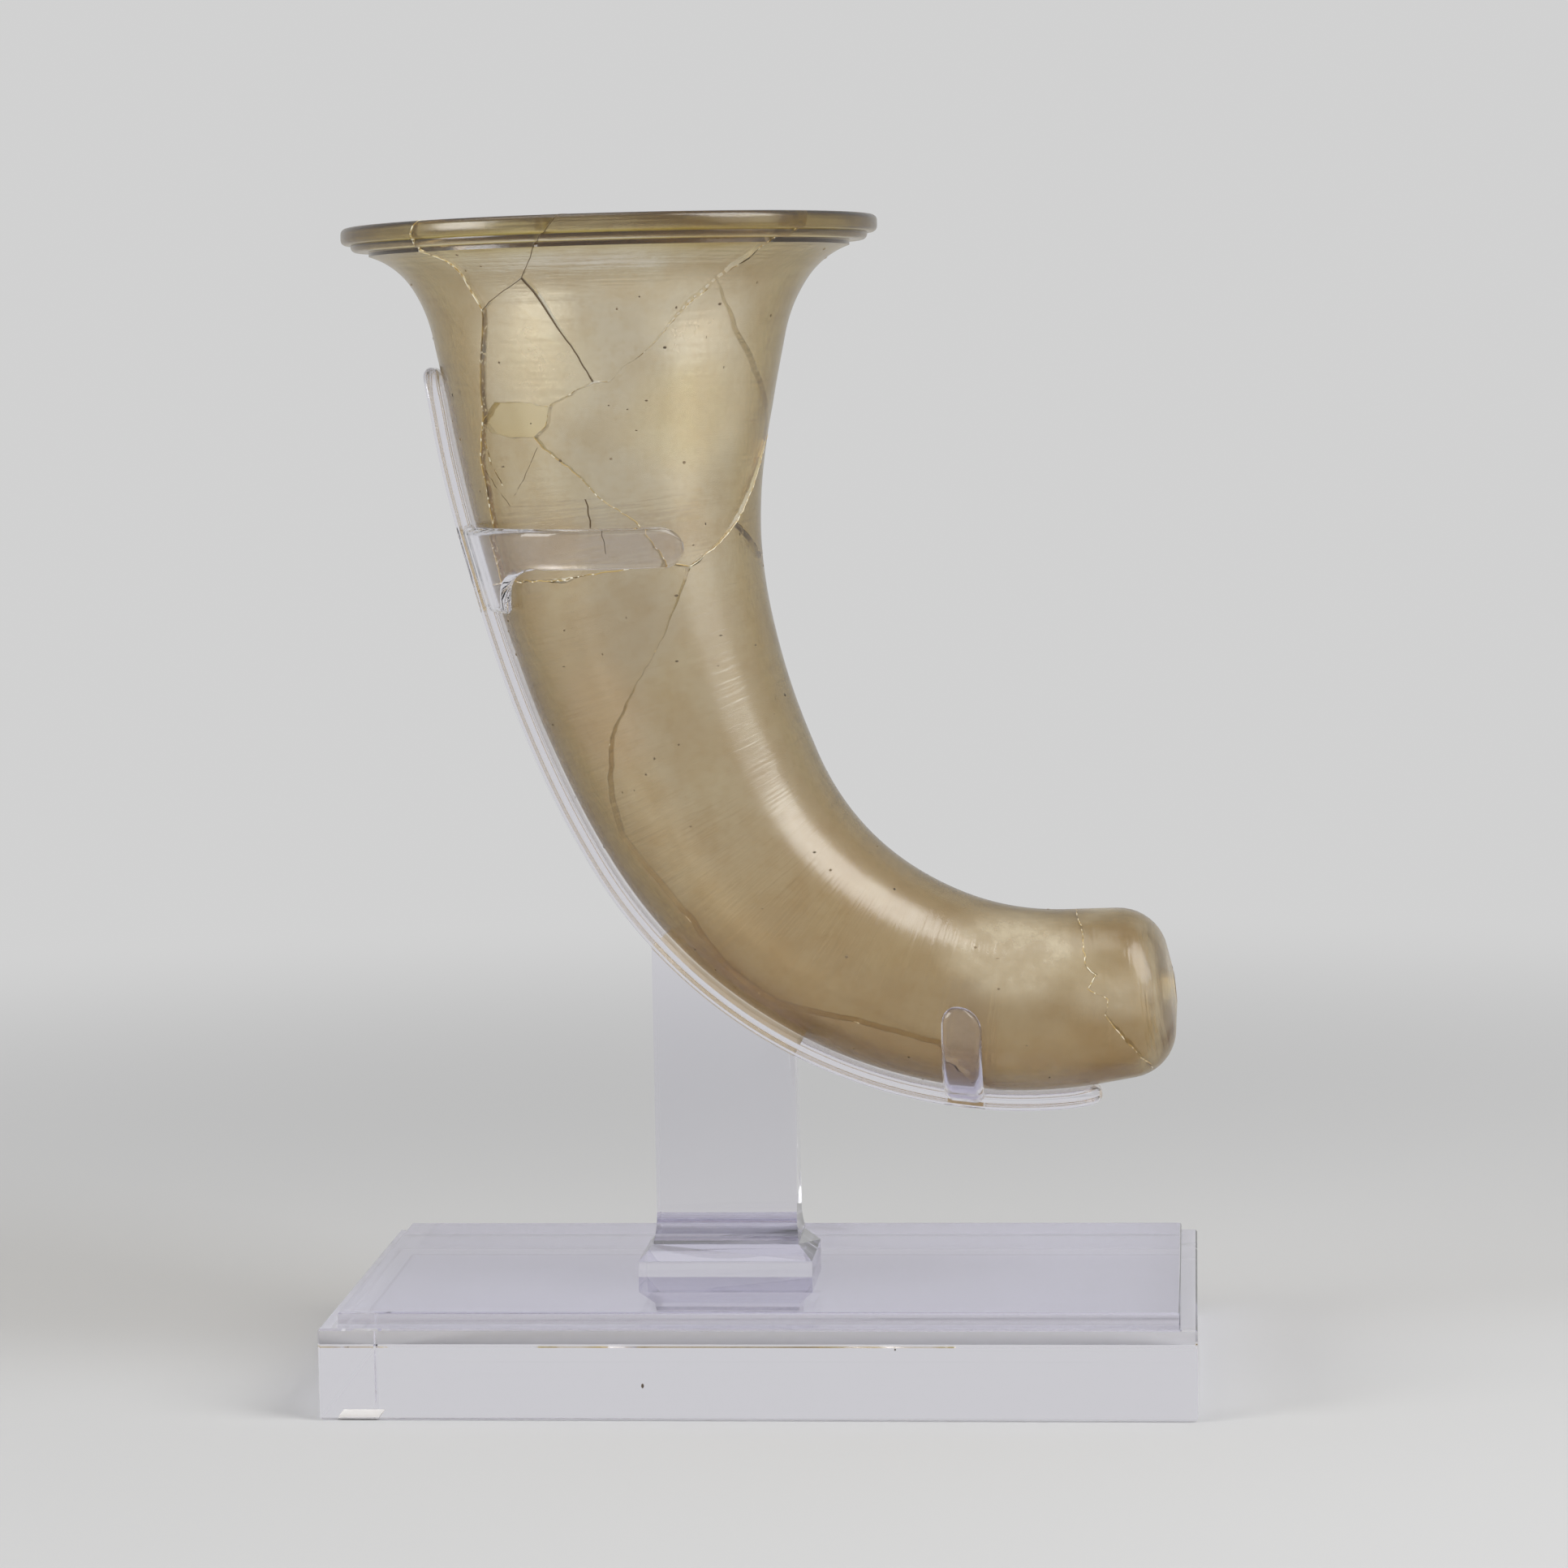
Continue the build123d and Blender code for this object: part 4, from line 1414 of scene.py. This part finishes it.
# %% Fill, glue and dull finishes
fill_amber = (0.96, 0.91, 0.77)
fill_pale = (0.985, 0.95, 0.84)
fill_shadow = (0.80, 0.79, 0.76)
fill_depth = (0.78, 0.68, 0.34)
fill_density = 120.0
gold_glue = (0.52, 0.36, 0.12)
brown_glue = (0.10, 0.062, 0.022)
# Painted glint: pale flecks in the glue stand in for light caught on the broken faces.
pale_glint_fleck = (0.95, 0.90, 0.72)
crumb_look = (90.0, (0.05, 0.035, 0.02), (0.26, 0.19, 0.11), 0.7)
crumb_span = (0.35, 0.65)
paper_look = (900.0, (0.92, 0.90, 0.80), (0.97, 0.95, 0.88), 0.8)
cement_look = (300.0, (0.80, 0.79, 0.78), (0.90, 0.89, 0.88), 0.6)


def fill_finish():
    """Smooth yellowish resin."""
    finish = Finish(bpy.data.materials.new("fill_resin"))
    mottle = finish.grain(finish.place(), 260.0)
    colour = finish.blend(mottle, fill_amber, fill_pale)
    resin = finish.principled(colour, 0.14 + 0.08 * mottle, {"IOR": 1.48, "Transmission Weight": 1.0})
    skin = finish.lets_lamps_through(resin, fill_shadow)
    return finish.surface(skin, finish.depth_tint(fill_depth, fill_density))


def glue_graph(material):
    """Gold to brown glue with pale flecks that are painted glints, missing in places."""
    finish = Finish(material)
    place = finish.place()
    glue = finish.attribute("glue", "Vector")
    tone, cover, fleck = (finish.axis(glue, label) for label in "XYZ")
    slow = finish.grain(place, 160.0)
    fast = finish.grain(place, 1100.0, 2.0)
    brown = (tone + 1.6 * slow - 0.8).between(0.2, 0.8)
    colour = finish.blend(brown, gold_glue, brown_glue)
    # painted glints: pale flecks mixed into the glue colour
    colour = finish.blend((fast + 0.22 * fleck).between(0.62, 0.68), colour, pale_glint_fleck)
    lost = (finish.grain(place, 420.0) - 0.9 * cover).between(0.05, 0.12)
    gone = finish.node("ShaderNodeBsdfTransparent")
    return finish.surface(finish.mixed(lost, finish.principled(colour, 0.35), gone))


def dull_graph(material, scale, dark, pale, roughness, span=None):
    """Two colours mixed by noise, which a span makes sharper."""
    finish = Finish(material)
    tone = finish.grain(finish.place(), scale)
    colour = finish.blend(tone.between(*span) if span else tone, dark, pale)
    return finish.surface(finish.principled(colour, roughness))


fill_resin = fill_finish()
glue_graph(glue_finish)
dull_graph(speck_finish, *crumb_look, span=crumb_span)
sticker_paper = dull_graph(bpy.data.materials.new("cream_paper"), *paper_look)
cloudy_cement = dull_graph(bpy.data.materials.new("cloudy_cement"), *cement_look)
for material in (fill_resin, glue_finish, speck_finish, sticker_paper, cloudy_cement):
    print(material.name, len(material.node_tree.nodes), "nodes")

# %% [markdown]
# ## Clear acrylic
# Acrylic is almost without colour. What is seen of it is the bent picture of the room, bright lines on
# its rounded edges, and a faint lavender in the thickness of the sheet. Light that enters a thick piece
# from above is turned back by its sides and can't leave there, so the sides of plate and block cast a
# darker shadow than the rest.

# %% Clear acrylic
lavender = (0.918, 0.91, 0.962)
clear_shadow = (0.82, 0.82, 0.84)
side_shadow = (0.24, 0.24, 0.25)


def acrylic_finish(name, shadow_tint):
    """Polished clear plastic with a breath of lavender."""
    finish = Finish(bpy.data.materials.new(name))
    smear = finish.grain(finish.place(), 45.0).between(0.35, 0.75)
    clear = finish.principled(lavender, 0.03 * smear, {"IOR": 1.49, "Transmission Weight": 1.0})
    return finish.surface(finish.lets_lamps_through(clear, shadow_tint))


clear_acrylic = acrylic_finish("clear_acrylic", clear_shadow)
acrylic_side = acrylic_finish("acrylic_side", side_shadow)
print("acrylic with shadows of", clear_shadow, "and", side_shadow)

# %% [markdown]
# ## Who wears what, and what moves
# Every piece of the vessel rides on the vessel's body and every piece of the stand on the stand's. Each
# piece also hides the CAD pieces that it stands for.

# %% Dressing the pieces
sideways = 0.5
upwards = 0.3
dressed = []


def dress(piece, body, material=None, nodes=()):
    """Give a piece its finish and its body, and hide the CAD pieces that it stands for."""
    if material is not None:
        piece.data.materials.clear()
        piece.data.materials.append(material)
    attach(piece, body)
    if nodes:
        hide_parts(*nodes)
    dressed.append(piece.name)


def second_finish(piece, material, wanted):
    """Another finish on the faces that are wanted."""
    piece.data.materials.append(material)
    for face in piece.data.polygons:
        face.material_index = int(wanted(face))


for name, piece in glass_pieces.items():
    if name == "resin_fill":
        dress(piece, "vessel", fill_resin, [name])
    else:
        dress(piece, "vessel", weathered_glass, [name + "_sherd"])
dress(glue_strips, "vessel")
dress(glue_sheets, "vessel")
dress(specks, "vessel")
dress(cradle, "stand", clear_acrylic,
      ["cradle_strap", "front_arm", "rear_arm", "front_prong", "rear_prong"])
for node, piece in clear_pieces.items():
    dress(piece, "stand", clear_acrylic, [node])
for node in ("base_plate", "base_block"):
    second_finish(clear_pieces[node], acrylic_side, lambda face: abs(face.normal.z) < sideways)
second_finish(clear_pieces["post"], cloudy_cement,
              lambda face: face.center.z > saddle_height * millimetre and face.normal.z > upwards)
dress(sticker, "stand", sticker_paper)
dress(block_flaws, "stand", speck_finish)
print("dressed", len(dressed), "pieces")

# %% [markdown]
# ## Floor, light and air
# The studio is a pale grey sweep under soft lamps. The floor fades into the colour of the air with
# distance, so no horizon shows from any side. A broad lamp stands high at the right, with a weak one
# below it for the glow in the glass. One lamp fills from the left, and one hangs overhead.

# %% Studio
air_grey = 0.64
air_light = 0.26
floor_grey = 0.60
floor_size = 6.0
floor_drop = 0.0003
floor_fade = (0.22, 0.75)
lamps = [
    ("right_lamp", (0.78, -0.36, 0.82), (0.05, 0.0, 0.12), (0.64, 0.92), 10.0),
    ("right_glow", (0.98, -0.42, 0.30), (0.02, 0.0, 0.15), (0.6, 0.6), 1.2),
    ("left_lamp", (-0.95, -0.60, 0.45), (0.0, 0.0, 0.18), (0.5, 0.7), 7.6),
    ("top_lamp", (-0.30, -0.15, 1.25), (0.02, 0.0, 0.1), (0.9, 0.8), 3.0),
]


def studio_floor():
    """A wide floor that turns into the colour of the air with distance."""
    corners = [(-1, -1), (1, -1), (1, 1), (-1, 1)]
    points = [(x * floor_size, y * floor_size, -floor_drop) for x, y in corners]
    floor = mesh_object("studio_floor", points, [(0, 1, 2, 3)])
    finish = Finish(bpy.data.materials.new("studio_paper"))
    away = finish.vectors("LENGTH", finish.place(), out="Value")
    paper = finish.node("ShaderNodeBsdfDiffuse", None, {"Color": [floor_grey] * 3})
    glow = finish.node("ShaderNodeEmission", None, {"Color": [air_grey] * 3, "Strength": 1.0})
    floor.data.materials.append(finish.surface(finish.mixed(away.between(*floor_fade), paper, glow)))


def studio_air():
    """One grey for what is seen, and a lower light for everything else."""
    finish = Finish(bpy.data.worlds.new("studio_air"))
    camera, glossy, through = (finish.node("ShaderNodeLightPath", None, None, f"Is {kind} Ray")
                               for kind in ("Camera", "Glossy", "Transmission"))
    seen = finish.node("ShaderNodeClamp", None, {"Value": camera + glossy + through})
    shown = finish.node("ShaderNodeBackground", None, {"Color": [air_grey] * 3, "Strength": 1.0})
    light = finish.node("ShaderNodeBackground", None, {"Color": [1.0] * 3, "Strength": air_light})
    bpy.context.scene.world = finish.surface(finish.mixed(seen, light, shown))


def soft_lamp(name, place, aim, size, power):
    """A rectangular lamp that faces a point."""
    data = bpy.data.lights.new(name, "AREA")
    data.shape = "RECTANGLE"
    data.size, data.size_y = size
    data.energy = power
    lamp = linked(name, data)
    lamp.visible_transmission = False
    turn = (Vector(aim) - Vector(place)).to_track_quat("-Z", "Y")
    lamp.matrix_world = Matrix.Translation(place) @ turn.to_matrix().to_4x4()


studio_floor()
studio_air()
for lamp in lamps:
    soft_lamp(*lamp)
bpy.context.scene.view_settings.view_transform = "Standard"
light_paths = bpy.context.scene.cycles
light_paths.max_bounces = 24
light_paths.glossy_bounces = 16
light_paths.transmission_bounces = 24
print("lamps", [lamp[0] for lamp in lamps])

# %% [markdown]
# ## The end
# The last step updates the scene and hands it to the frame.

# %% The end
bpy.context.view_layer.update()
